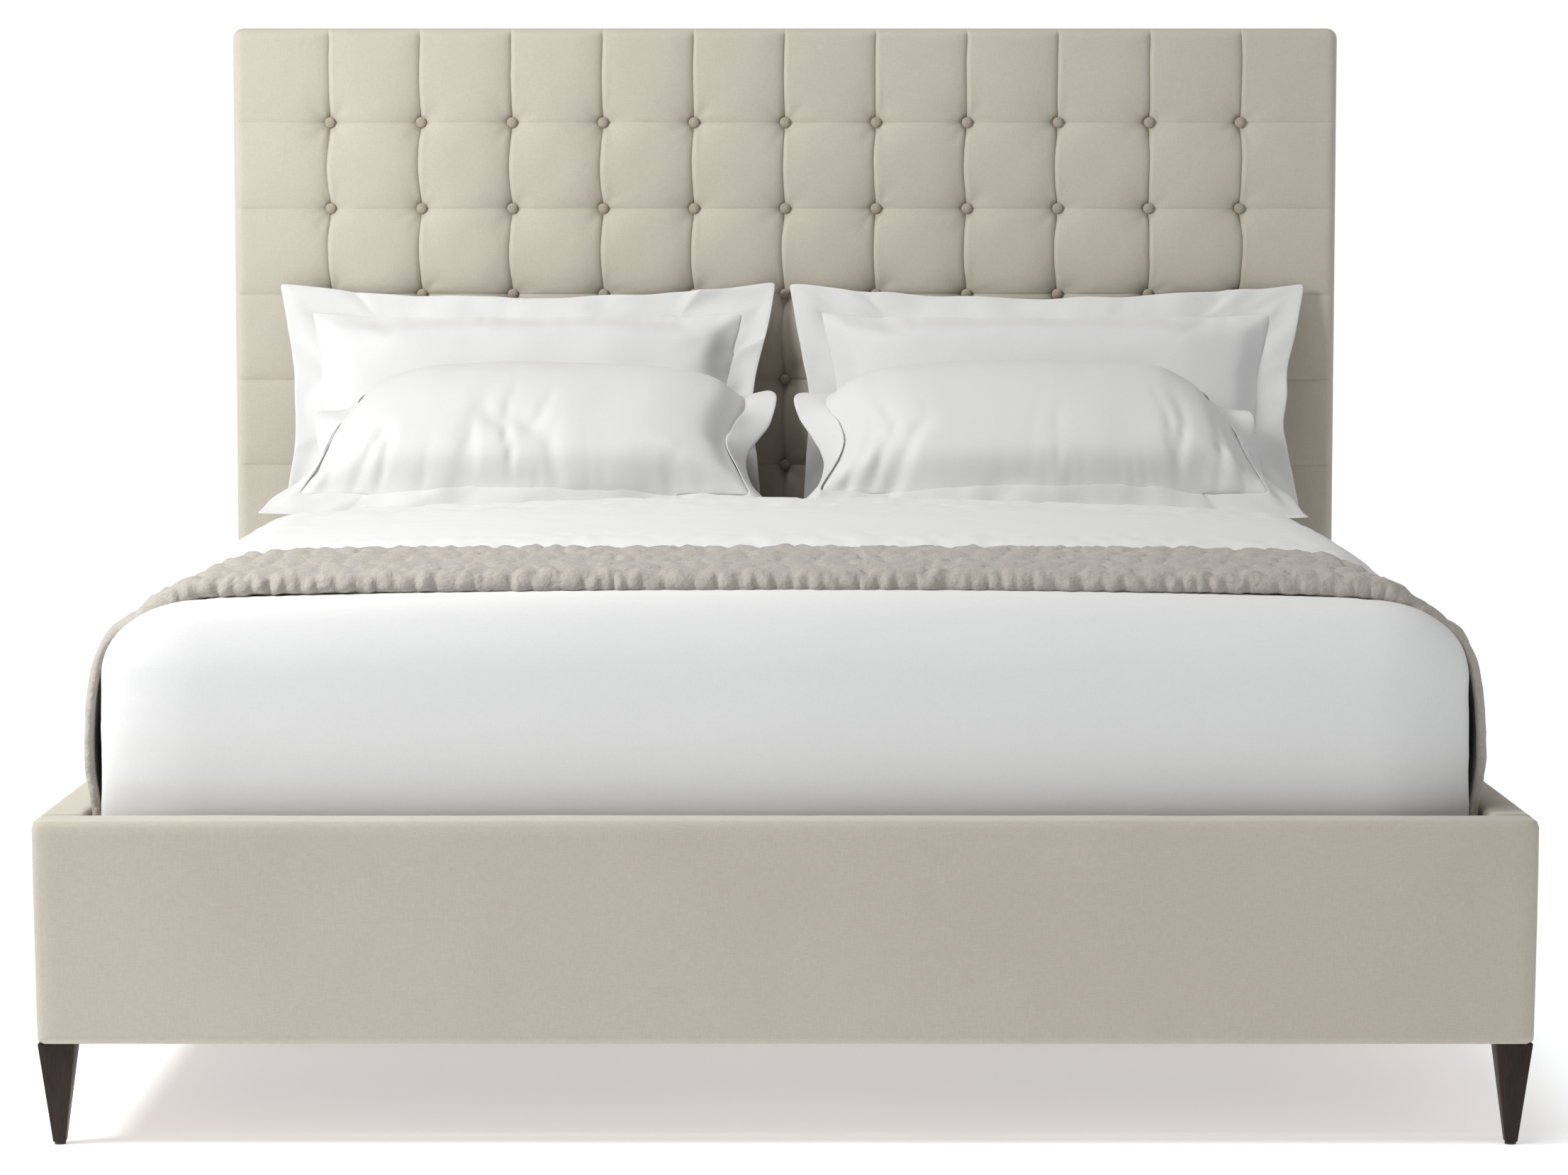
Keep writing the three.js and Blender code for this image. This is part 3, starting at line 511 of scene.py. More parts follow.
def tufted_surface(x, z, low, high, settings):
    """Where the cover lies at x, z of the flat pad: its moved x, its z and its depth behind the front."""
    columns, rows, _, _, _ = tufting()
    pitch_x = columns[1] - columns[0]
    flat = stacked(x, 0.0, z)
    rng = np.random.default_rng(41)

    # the pleats and channels that each point lies beside
    i = np.clip(np.round((x - columns[0]) / pitch_x).astype(int), 0, len(columns) - 1)
    j = np.abs(z[:, None] - rows[None, :]).argmin(axis=1)
    dx = x - columns[i]
    dz = z - rows[j]
    lone_x = ((i == 0) & (dx < 0)) | ((i == len(columns) - 1) & (dx > 0))
    lone_z = ((j == 0) & (dz < 0)) | ((j == len(rows) - 1) & (dz > 0))
    edge_x = np.where(dx < 0, columns[0] - low[0], high[0] - columns[-1])
    edge_z = np.where(dz < 0, rows[0] - low[2], high[2] - rows[-1])
    half_x = np.where(lone_x, edge_x, pitch_x / 2.0)
    gap = np.where(dz > 0, np.append(np.diff(rows), 1.0)[j], np.insert(np.diff(rows), 0, 1.0)[j])
    half_z = np.where(lone_z, edge_z, gap / 2.0)
    s = np.clip(np.abs(dx) / half_x, 0.0, 1.0)
    t = np.clip(np.abs(dz) / half_z, 0.0, 1.0)

    # a pleat bows to one side between its two buttons
    upper = np.where(dz > 0, j, j - 1)
    bows = rng.uniform(0.65, 1.25, (len(columns), len(rows) + 1)) * settings.bow
    bows[-1] *= -1.0
    bows[-2] *= -0.4
    bows[:, -1] *= 0.45
    bows[:, 0] *= 0.3
    arch = np.where(lone_z, np.sin(np.pi * np.clip(np.abs(dz) / edge_z, 0, 1)), np.sin(np.pi * t / 2.0) ** 1.3)
    moved = -bows[i, upper + 1] * arch
    waver = 0.0009 * lumps(stacked(i * 3.1, 0.0, z / 0.03), 1.0, 7)
    moved = moved + waver * step(np.abs(dz), 0.008, 0.03)
    x_out = x + moved * np.exp(-((dx / 0.045) ** 2))

    # crown of each puff, then the pleat, the channel and the dimple
    r = np.hypot(dx, dz)
    crown = settings.crown * (1.0 - (np.sin(np.pi / 2 * s) ** 0.62) * (0.25 + 0.75 * np.sin(np.pi / 2 * t) ** 0.5))
    along = 0.55 + 0.45 * np.exp(-np.abs(dz) / 0.03)
    fade = 1.0 - step(z, high[2] - 0.012, high[2] - 0.001)
    pleat = np.where(dx < 0, 0.55 * np.exp(dx / 0.012) + 0.45 * np.exp(dx / 0.0022), np.exp(-dx / 0.0019))
    lip = 0.0011 * np.exp(-(((dx - 0.0075) / 0.0045) ** 2)) - 0.0007 * np.exp(-(((dx + 0.004) / 0.003) ** 2))
    near_pleat = np.clip(fade, 0.15, 1) * along
    wave = 0.0016 * lumps(stacked(x / 0.05, 3.0, j * 5.7), 1.0, 19) * step(np.abs(dx), 0.01, 0.03)
    side = np.abs(dz - wave)
    taper = 0.26 + 0.74 * np.exp(-np.abs(dx) / 0.026)
    channel = settings.channel * (0.75 * np.exp(-side / 0.0075) + 0.45 * np.exp(-side / 0.0022)) * taper
    dimple = settings.dimple * np.exp(-((r / 0.019) ** 1.15)) + 0.0042 * np.exp(-((r / 0.046) ** 2))
    depth = crown + settings.pleat * pleat * near_pleat - lip * near_pleat + channel + dimple

    # small creases run out from each button
    angle = np.arctan2(dz, dx)
    turn = rng.uniform(0, 2 * np.pi, (len(columns), len(rows)))[i, j]
    count = rng.integers(5, 9, (len(columns), len(rows)))[i, j]
    ring = np.exp(-(((r - 0.030) / 0.018) ** 2))
    depth += settings.creases * ring * np.cos(count * angle + turn)
    lean = rng.uniform(0.35, 1.0, (len(columns), len(rows)))[i, j]
    for centre, reach, size in LONG_CREASES:
        off = np.abs(np.angle(np.exp(1j * (angle - centre - 0.25 * (lean - 0.6))))) * np.maximum(r, 0.004)
        depth += size * lean * np.exp(-((off / 0.0035) ** 2)) * np.exp(-(((r - 0.035) / (reach * 0.5)) ** 2))
    depth += 0.0011 * lumps(flat, 0.085, 3) + 0.0004 * lumps(flat * (1.0, 1.0, 2.2), 0.03, 5)
    return x_out, z, np.maximum(depth - 0.0008, 0.0)


def tufted_cover(settings):
    """The tufted front, its rolled edge and its sides, closed at the back."""
    low, high = corner("headboard_pad")
    columns, rows, _, _, _ = tufting()
    xs = cell_places([low[0], *columns, high[0]], PLEAT_CELLS, 0.018)
    zs = cell_places([low[2], *rows, high[2]], CHANNEL_CELLS, 0.016)
    bm = bmesh.new()
    bmesh.ops.create_grid(bm, x_segments=len(xs) - 1, y_segments=len(zs) - 1, size=1.0)
    flat = points_of(bm)
    x = xs[np.round((flat[:, 0] + 1) / 2 * (len(xs) - 1)).astype(int)]
    z = zs[np.round((flat[:, 1] + 1) / 2 * (len(zs) - 1)).astype(int)]
    moved, z, depth = tufted_surface(x, z, low, high, settings)

    # the outer edge rolls back, and its corners are round in the face as well
    radius = settings.edge
    a = np.maximum(np.abs(x) - (high[0] - radius), 0.0) * np.sign(x)
    top = np.maximum(z - (high[2] - radius), 0.0)
    lower_radius = 0.008
    bottom = np.maximum(low[2] + lower_radius - z, 0.0) * radius / lower_radius
    b = top - bottom
    reach = np.hypot(a, b)
    pull = np.divide(np.minimum(reach, radius), reach, out=np.ones_like(reach), where=reach > 0)
    biggest = np.maximum(np.abs(a), np.abs(b))
    inward = np.divide(biggest, reach, out=np.ones_like(reach), where=reach > 0)
    roll = radius - np.sqrt(np.maximum(radius**2 - np.minimum(biggest, radius) ** 2, 0.0))
    x_new = np.where(np.abs(a) > 0, moved - a + a * inward, moved)
    z_new = np.where(top > 0, z - top + top * inward, z)
    keep = 1.0 - 0.75 * np.clip(biggest / radius, 0, 1)
    y = low[1] + np.maximum(roll, 0) + depth * keep
    set_points(bm, stacked(x_new, y, z_new))

    # sides, then a flat back
    back = high[1]
    rim = [e for e in bm.edges if e.is_boundary]
    for place in (low[1] + 0.027, low[1] + 0.037, back - 0.002, back):
        verts, rim = extruded(bm, rim)
        for v in verts:
            v.co.y = place
            if place == back:
                v.co.x *= 0.9985
                v.co.z = v.co.z + (-0.0015 if v.co.z > 1.0 else 0.0)
    bmesh.ops.edgeloop_fill(bm, edges=rim)
    bmesh.ops.recalc_face_normals(bm, faces=bm.faces)
    return bm


# a button's profile: share of its radius and metres behind its face
BUTTON_PROFILE = (
    (0.0, 0.0), (0.35, 0.0003), (0.65, 0.0011), (0.86, 0.0026), (0.97, 0.0046), (0.98, 0.0062), (0.80, 0.0076),
    (0.16, 0.0079),
)
TWINE_RADIUS = 0.0016


class BED_OT_headboard_cover(bpy.types.Operator):
    """Make the tufted pad of the headboard"""

    bl_idname = "bed.headboard_cover"
    bl_label = "Headboard Cover"

    def execute(self, context):
        bm = tufted_cover(context.scene.bed_headboard)
        piece = add_piece("headboard_cover", bm, "upholstery", "bed_frame", ["headboard_pad"])
        return {"FINISHED"}


class BED_OT_headboard_buttons(bpy.types.Operator):
    """Make the covered buttons and the twine that pulls them in"""

    bl_idname = "bed.headboard_buttons"
    bl_label = "Headboard Buttons"

    def execute(self, context):
        columns, rows, radius, front, back = tufting()
        for number, row in enumerate(sorted(rows, reverse=True), 1):
            bm = bmesh.new()
            verts = [bm.verts.new((r * radius, d, 0.0)) for r, d in BUTTON_PROFILE]
            verts += [bm.verts.new((r, back - front - 0.006, 0.0)) for r in (TWINE_RADIUS, 0.0)]
            edges = [bm.edges.new(pair) for pair in zip(verts, verts[1:])]
            bmesh.ops.spin(
                bm, geom=verts + edges, cent=(0, 0, 0), axis=(0, 1, 0), angle=2 * math.pi, steps=18, use_merge=True
            )
            bmesh.ops.remove_doubles(bm, verts=bm.verts, dist=1e-6)
            bmesh.ops.recalc_face_normals(bm, faces=bm.faces)
            one = bm.verts[:] + bm.edges[:] + bm.faces[:]
            for place in columns[1:]:
                copy = bmesh.ops.duplicate(bm, geom=one)["geom"]
                moved = [g for g in copy if isinstance(g, bmesh.types.BMVert)]
                bmesh.ops.translate(bm, verts=moved, vec=(place - columns[0], 0, 0))
            bmesh.ops.translate(bm, verts=bm.verts, vec=(columns[0], front, row))
            names = ("tufting_row_%d" % k for k in range(1, 6))
            node_name = next(n for n in names if abs(sum(c[2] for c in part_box(n)) / 2 - row) < 0.002)
            add_piece("headboard_buttons_%d" % number, bm, "button_fabric", "bed_frame", [node_name])
        return {"FINISHED"}


class BED_OT_headboard_back(bpy.types.Operator):
    """Make the lower panel, the side band and the dust cloth of the headboard"""

    bl_idname = "bed.headboard_back"
    bl_label = "Headboard Sides and Back"

    def execute(self, context):
        slack = context.scene.bed_frame.cover_slack
        low, high = corner("headboard_lower_cover")
        bm = soft_box(low, high, (0.02, 0.003, 0.02), (0.003, 0.003, 0.002), (0.003, 0.002, 0.001))
        points, normals = points_of(bm), normals_of(bm)
        set_points(bm, points - normals * (slack * swell(points, 0.14, 11))[:, None])
        panel = add_piece(
            "headboard_lower_panel", bm, "upholstery", "bed_frame", ["headboard_lower_cover"]
        )

        # the band runs up one side, over the top and down the other
        low, high = corner("headboard_side_band")
        radius = context.scene.bed_headboard.edge
        path = [(low[0], low[2])]
        for centre, start in ((low[0] + radius, 180.0), (high[0] - radius, 90.0)):
            for k in range(9):
                turn = math.radians(start - 90.0 * k / 8)
                path.append((centre + radius * math.cos(turn), high[2] - radius + radius * math.sin(turn)))
        path.append((high[0], low[2]))
        bm = bmesh.new()
        verts = [bm.verts.new((x, low[1], z)) for x, z in path]
        edges = [bm.edges.new(pair) for pair in zip(verts, verts[1:])]
        for part in (edges[0], edges[9], edges[-1]):
            bmesh.ops.subdivide_edges(bm, edges=[part], cuts=60 if part is edges[9] else 48)
        loop = bm.edges[:]
        for k in range(1, 9):
            verts, loop = extruded(bm, loop)
            bmesh.ops.translate(bm, verts=verts, vec=(0, (high[1] - low[1]) / 8, 0))
        points = points_of(bm)
        across = (points[:, 1] - low[1]) / (high[1] - low[1])
        hollow = 0.0012 * (1 - np.sin(np.pi * np.clip(across, 0, 1)) ** 0.35) + slack * 0.6 * swell(points, 0.07, 23)
        sideways = np.sign(points[:, 0]) * (np.abs(points[:, 0]) > high[0] - radius)
        outward = stacked(sideways, 0.0, 1.0 * (points[:, 2] > high[2] - radius))
        outward /= np.maximum(np.linalg.norm(outward, axis=1), 1e-9)[:, None]
        set_points(bm, points - outward * hollow[:, None])
        bmesh.ops.recalc_face_normals(bm, faces=bm.faces)
        side = next(f for f in bm.faces if f.calc_center_median().x > high[0] - 0.004)
        if side.normal.x < 0:
            bmesh.ops.reverse_faces(bm, faces=bm.faces)
        band = add_piece(
            "headboard_side_band_cover", bm, "upholstery", "bed_frame", ["headboard_side_band"]
        )
        wall(band, 0.004)

        # the dust cloth stands inside the turned-over margin of the cover
        low, high = corner("headboard_back_sheet")
        bm = soft_box(low, high, (0.03, 0.003, 0.03), (0.006, 0.0, 0.001), (0.006, 0.0015, 0.006))
        points = points_of(bm)
        inside = np.minimum(np.minimum(points[:, 0] - low[0], high[0] - points[:, 0]), high[2] - points[:, 2])
        behind = points[:, 1] > (low[1] + high[1]) / 2
        sag = 0.0006 * (1 + lumps(points, 0.2, 31)) * step(inside, 0.03, 0.10)
        points[:, 1] -= np.where(behind, sag, 0.0)
        set_points(bm, points)
        back = add_piece(
            "headboard_dust_cloth", bm, "backing_cloth", "bed_frame", ["headboard_back_sheet"]
        )
        back.data.materials.append(finish("upholstery"))
        margin = 0.032
        for face in back.data.polygons:
            c = face.center
            if min(c.x - low[0], high[0] - c.x, high[2] - c.z) < margin:
                face.material_index = 1
        # staples stand just inside the margin
        bm = bmesh.new()
        inset, pitch = 0.038, 0.055
        heights = np.arange(low[2] + 0.03, high[2] - 0.05, pitch)
        spots = [(s * (high[0] - inset), z) for s in (-1, 1) for z in heights]
        spots += [(x, high[2] - inset) for x in np.arange(low[0] + 0.06, high[0] - 0.05, pitch)]
        for x, z in spots:
            upright = abs(x) > high[0] - 0.045
            size = (0.0011, 0.0009, 0.011) if upright else (0.011, 0.0009, 0.0011)
            place = Matrix.Translation((x, high[1] + 0.0001, z)) @ Matrix.Diagonal((*size, 1.0))
            bmesh.ops.create_cube(bm, size=1.0, matrix=place)
        add_piece("headboard_staples", bm, "steel", "bed_frame", smooth=False)
        return {"FINISHED"}


# ---------------------------------------------------------------- footboard, rails and legs


OPEN_BELOW = 0.300  # the covers' inner faces end at this height above the floor


def cover_sag(points, settings, size, seed):
    """How far a tight cover lies below its full shape, broadly and in fine waves."""
    broad = settings.cover_slack * swell(points * (1.0, 1.0, 1.5), size, seed)
    return broad + 0.0004 * swell(points, 0.03, seed + 1)


class BED_OT_footboard(bpy.types.Operator):
    """Make the footboard's padded cover"""

    bl_idname = "bed.footboard"
    bl_label = "Footboard"

    def execute(self, context):
        settings = context.scene.bed_frame
        low, high = corner("footboard_cover")
        radius = settings.cover_edge
        bm = soft_box(
            low, high, (0.012, 0.004, 0.012), (radius, radius, 0.0), (radius, radius, radius),
            ("front", "back", "left", "right", "top"),
        )
        middles = [(f, f.calc_center_median()) for f in bm.faces]
        inside = [
            f for f, at in middles if at.y > high[1] - 0.002 and at.z < OPEN_BELOW and abs(at.x) < high[0] - 0.055
        ]
        bmesh.ops.delete(bm, geom=inside, context="FACES")
        points, normals = points_of(bm), normals_of(bm)
        points = points - normals * cover_sag(points, settings, 0.11, 51)[:, None]
        # the ends draw in a little towards the floor, and the lower corners are round
        down = np.clip((high[2] - points[:, 2]) / (high[2] - low[2]), 0, 1)
        taper = 0.0036
        points[:, 0] *= 1.0 - taper * down**1.5
        edge = high[0] * (1 - taper) - np.abs(points[:, 0])
        lift = 0.009 * (1 - np.sqrt(np.clip(1 - (1 - np.clip(edge / 0.014, 0, 1)) ** 2, 0, 1)))
        points[:, 2] += lift * step(-points[:, 2], -(low[2] + 0.05), -low[2])
        # a seam runs down each front corner
        seam = np.exp(-(((np.abs(points[:, 0]) - (high[0] - 0.0135)) / 0.0018) ** 2))
        points[:, 1] += 0.0011 * (seam * (points[:, 1] < low[1] + 0.02))
        set_points(bm, points)
        piece = add_piece("footboard_padded_cover", bm, "upholstery", "bed_frame", ["footboard_cover"])
        wall(piece, settings.cover_wall)
        return {"FINISHED"}


class BED_OT_side_rails(bpy.types.Operator):
    """Make the padded covers of the two side rails"""

    bl_idname = "bed.side_rails"
    bl_label = "Side Rails"

    def execute(self, context):
        settings = context.scene.bed_frame
        for side in ("left", "right"):
            low, high = corner("side_rail_cover_" + side)
            radius = settings.cover_edge
            outer, inner = (low[0], high[0]) if side == "left" else (high[0], low[0])
            way = 1.0 if side == "left" else -1.0
            path = [(outer + way * 0.012, low[2]), (outer + way * 0.003, low[2] + 0.001), (outer, low[2] + 0.006)]
            path += [(outer, low[2] + (high[2] - radius - low[2]) * k / 22) for k in range(1, 22)]
            for centre, start in ((outer + way * radius, 180.0), (inner - way * radius, 90.0)):
                for k in range(7):
                    turn = math.radians(start - 15.0 * k)
                    path.append((centre + way * radius * math.cos(turn), high[2] - radius + radius * math.sin(turn)))
            path += [(inner, z) for z in np.linspace(high[2] - radius - 0.02, OPEN_BELOW, 7)]
            path = np.array(path)

            def place(u, v):
                at = u * (len(path) - 1)
                k = np.clip(np.floor(at).astype(int), 0, len(path) - 2)
                p = path[k] + (path[k + 1] - path[k]) * (at - k)[:, None]
                return stacked(p[:, 0], low[1] + (high[1] - low[1]) * v, p[:, 1])

            bm = cloth_grid(len(path) - 1, 150, place)
            bm.normal_update()
            face = max(bm.faces, key=lambda f: abs(f.normal.x) * (abs(f.calc_center_median().x) > abs(outer) - 0.004))
            if face.normal.x * way > 0:
                bmesh.ops.reverse_faces(bm, faces=bm.faces)
            points, normals = points_of(bm), normals_of(bm)
            set_points(bm, points - normals * cover_sag(points, settings, 0.12, 61)[:, None])
            name = "side_rail_padded_cover_" + side
            piece = add_piece(name, bm, "upholstery", "bed_frame", ["side_rail_cover_" + side])
            wall(piece, settings.cover_wall)
        return {"FINISHED"}


class BED_OT_legs(bpy.types.Operator):
    """Make the four tapered wooden legs"""

    bl_idname = "bed.legs"
    bl_label = "Legs"

    def execute(self, context):
        settings = context.scene.bed_frame
        for name in ("foot_left", "foot_right", "head_left", "head_right"):
            low, high = corner("leg_" + name)
            bm = block(low, high)
            middle = (low + high) / 2
            share = settings.leg_foot / (high[0] - low[0])
            for v in bm.verts:
                if v.co.z < middle[2]:
                    v.co.x = middle[0] + (v.co.x - middle[0]) * share
                    v.co.y = middle[1] + (v.co.y - middle[1]) * share
            bevel_all(bm, settings.leg_edge, 3)
            add_piece("tapered_leg_" + name, bm, "espresso_wood", "bed_frame", ["leg_" + name])
        return {"FINISHED"}


# finish of the CAD nodes whose names start so
HARDWARE = {
    "pine": (
        "center_beam", "center_leg", "footboard_core", "headboard_bottom", "headboard_middle", "headboard_post",
        "headboard_top", "ledger", "side_rail_core", "slat",
    ),
    "plywood": ("headboard_plywood",),
    "steel": ("beam_hanger", "corner_bracket", "levelling_stem"),
    "nylon": ("leg_glide", "levelling_foot"),
}


class BED_OT_timber(bpy.types.Operator):
    """Give the frame's timber, steel and nylon parts their finishes, and add the screws"""

    bl_idname = "bed.timber"
    bl_label = "Timber and Hardware"

    def execute(self, context):
        for name, piece in frame["nodes"].items():
            for kind, starts in HARDWARE.items():
                if name.startswith(starts):
                    for place in piece.material_slots:
                        place.material = finish(kind)
        bm = bmesh.new()
        spots = []
        for end, way in (("foot", -1), ("head", 1)):
            for side in ("left", "right"):
                low, high = corner("corner_bracket_%s_%s" % (end, side))
                inward = 1.0 if side == "left" else -1.0
                flat = (low[0] + 0.0052) if side == "left" else (high[0] - 0.0052)
                for z in (low[2] + 0.015, high[2] - 0.015):
                    y = (low[1] + high[1]) / 2 - way * 0.008
                    spots.append(((flat, y, z), (inward, 0, 0)))
        for at, way in spots:
            turn = Vector((0, 0, 1)).rotation_difference(Vector(way)).to_matrix().to_4x4()
            bmesh.ops.create_cone(
                bm, cap_ends=True, segments=16, radius1=0.0042, radius2=0.0034, depth=0.0022,
                matrix=Matrix.Translation(at) @ turn,
            )
        screws = add_piece("bracket_screws", bm, "steel", "bed_frame", smooth=False)
        rounded(screws, 0.0003, 2)
        return {"FINISHED"}


# ---------------------------------------------------------------- mattress and foundations


class BED_OT_foundations(bpy.types.Operator):
    """Make the two halves of the foundation under the mattress"""

    bl_idname = "bed.foundations"
    bl_label = "Foundations"

    def execute(self, context):
        for side in ("left", "right"):
            low, high = corner("foundation_" + side)
            bm = soft_box(low, high, (0.03, 0.03, 0.012), (0.014, 0.014, 0.004), (0.014, 0.014, 0.010))
            points, normals = points_of(bm), normals_of(bm)
            level = (points[:, 2] - low[2]) / (high[2] - low[2])
            seam = 0.002 * np.exp(-(((level - 0.86) / 0.05) ** 2)) * (np.abs(normals[:, 2]) < 0.6)
            slack = 0.0012 * swell(points, 0.12, 71) + seam
            set_points(bm, points - normals * slack[:, None])
            piece = add_piece("foundation_cover_" + side, bm, "ticking", "bed_frame", ["foundation_" + side])
            piece.data.materials.append(finish("backing_cloth"))
            for face in piece.data.polygons:
                if face.normal.z < -0.7:
                    face.material_index = 1
        return {"FINISHED"}


class BED_OT_mattress(bpy.types.Operator):
    """Make the mattress"""

    bl_idname = "bed.mattress"
    bl_label = "Mattress"

    def execute(self, context):
        low, high = corner("mattress")
        low, high = low + (0.018, 0.014, 0.0005), high - (0.018, 0.0005, 0.0005)
        bm = soft_box(low, high, (0.02, 0.02, 0.012), (0.17, 0.045, 0.02), (0.17, 0.05, 0.12))
        points, normals = points_of(bm), normals_of(bm)
        # pressed down where the bedding is tucked and lies tight, full under the pillows
        raised = step(points[:, 2], low[2] + 0.10, high[2] - 0.10)
        points[:, 2] -= 0.029 * raised * (1.0 - step(points[:, 1], low[1] + 0.80, low[1] + 1.40))
        pitch = 0.19
        quilting = np.abs(np.sin(np.pi * points[:, 0] / pitch) * np.sin(np.pi * points[:, 1] / pitch)) ** 0.4
        flat = np.abs(normals[:, 2]) > 0.7
        level = points[:, 2] - low[2]
        seams = sum(np.exp(-(((level - at) / 0.006) ** 2)) for at in (0.035, 0.235))
        slack = np.where(flat, 0.004 * (1 - quilting), 0.0035 * seams) + 0.001 * swell(points, 0.1, 81)
        set_points(bm, points - normals * slack[:, None])
        piece = add_piece("mattress_cover", bm, "ticking", "mattress", ["mattress"])
        return {"FINISHED"}


# ---------------------------------------------------------------- comforter and coverlet


class BED_OT_comforter(bpy.types.Operator):
    """Make the white comforter"""

    bl_idname = "bed.comforter"
    bl_label = "Comforter"

    def execute(self, context):
        settings = context.scene.bed_bedding
        low, high = corner("comforter")
        bm = soft_box(
            low, high, (0.0125, 0.0125, 0.0125), (0.145, 0.045, 0.0), (0.145, 0.0, 0.110),
            ("front", "left", "right", "top"),
        )
        points, normals = points_of(bm), normals_of(bm)
        x, y, z = points.T
        front = low[1]
        upper = step(z, low[2] + 0.05, high[2] - 0.06)
        # thinner under the coverlet, and full towards the pillows
        ramp = 1.0 - step(y, front + 0.650, front + 0.810)
        drop = 0.020 * ramp * upper + 0.012 * np.clip(np.abs(x) / 0.81, 0.0, 1.0) ** 2 * upper
        drop -= 0.026 * step(y, front + 0.72, front + 1.34) * upper * (1.0 - 0.5 * np.clip(np.abs(x) / 0.90, 0, 1) ** 2)
        top = step(normals[:, 2], 0.3, 0.9)
        loft = step(y, front + 0.80, front + 1.30)
        soft = settings.comforter_lumps * swell(points * (1.0, 1.6, 1.0), 0.17, 91) * loft * top
        soft += 0.0034 * swell(points * (1.0, 2.4, 1.0), 0.055, 92) * loft * top
        # creases run back from the coverlet and from under the pillows
        by_coverlet = step(y, front + 0.66, front + 0.74) * (1 - step(y, front + 0.80, front + 0.95))
        near_end = by_coverlet + step(y, front + 1.15, front + 1.35)
        soft += 0.0034 * (1 - np.abs(lumps(points * (1.0, 0.35, 0.0), 0.022, 93))) ** 3 * near_end * top
        # the end nearest the pillows turns down
        end = step(y, high[1] - 0.05, high[1])
        soft += 0.030 * (1 - np.sqrt(np.clip(1 - end**2, 0, 1))) * top
        # the hanging sides and foot have short level wrinkles near their ends
        hang = 1.0 - step(np.abs(normals[:, 2]), 0.2, 0.6)
        near_corner = step(np.abs(x), 0.80, 0.93)
        wrinkle = swell(stacked(x / 0.09, y / 0.09, z / 0.014), 1.0, 95)
        soft += (0.0012 * near_corner + 0.0003) * wrinkle * hang
        soft += 0.0022 * swell(points, 0.22, 96) * hang
        # it draws in under the coverlet, most where the coverlet turns down the sides
        covered = (1.0 - step(y, front + 0.662, front + 0.700)) * step(z, low[2] + 0.03, low[2] + 0.09)
        shoulder = step(y, front + 0.032, front + 0.060) * step(np.abs(x), 0.78, 0.86)
        shoulder = shoulder * step(z, low[2] + 0.16, low[2] + 0.24)
        drawn_in = (0.002 + 0.013 * shoulder) * covered
        moved = points - normals * soft[:, None] - normals * (1.0, 0.0, 1.0) * drawn_in[:, None]
        moved[:, 2] -= drop
        # the sides stand fuller towards the pillows
        fuller = np.sign(x) * 0.010 * step(y, front + 0.70, front + 1.0) * hang
        moved[:, 0] += fuller * step(z, low[2] + 0.05, low[2] + 0.15)
        set_points(bm, moved)
        piece = add_piece("comforter_draped", bm, "white_linen", "mattress", ["comforter"])
        wall(piece, settings.comforter_wall)
        return {"FINISHED"}


# half section of the hanging coverlet as shares of its half width and of its height above its lower edge
COVERLET_SECTION = (
    (0.9985, 0.0), (1.0000, 0.10), (1.0110, 0.23), (1.0120, 0.38), (1.0065, 0.565), (0.9950, 0.670), (0.9750, 0.772),
    (0.9480, 0.827), (0.9200, 0.877), (0.8960, 0.922), (0.8700, 0.955), (0.8350, 0.978), (0.7200, 0.992), (0.5, 0.998),
    (0.0, 1.0),
)
# rows of its grid between two stitched lines, and the distance from one line to the next
STITCH_ROWS = (0.0, 0.0035, 0.008, 0.016, 0.029, 0.042, 0.055, 0.068, 0.076, 0.0805)
STITCH_PITCH = 0.084


def smooth_path(points, count):
    """count + 1 points along a softened line through points, farther apart near its two ends."""
    line = np.array(points, dtype=float)
    for _ in range(4):
        cut = np.concatenate([line[:1], np.repeat(line[:-1] * 0.75 + line[1:] * 0.25, 2, axis=0), line[-1:]])
        cut[2:-1:2] = line[:-1] * 0.25 + line[1:] * 0.75
        line = cut
    along = np.concatenate([[0.0], np.cumsum(np.linalg.norm(np.diff(line, axis=0), axis=1))])
    ends, side = 0.30, 24
    inner = np.linspace(ends, along[-1] - ends, count - 2 * side + 1)
    first, last = np.linspace(0.0, ends, side + 1), np.linspace(along[-1] - ends, along[-1], side + 1)
    places = np.concatenate([first[:-1], inner, last[1:]])
    return np.stack([np.interp(places, along, line[:, k]) for k in (0, 1)], axis=1), places


def coverlet_path(low, high, count):
    """The coverlet's outer section from one hanging edge over the top to the other, with outward normals."""
    half, tall = (high[0] - low[0]) / 2, high[2] - low[2]
    left = [(-half * a, low[2] + tall * b) for a, b in COVERLET_SECTION]
    path, along = smooth_path(left + [(-x, z) for x, z in left[-2::-1]], count)
    tangent = np.gradient(path, along, axis=0)
    tangent /= np.linalg.norm(tangent, axis=1)[:, None]
    return path, np.stack([-tangent[:, 1], tangent[:, 0]], axis=1), along


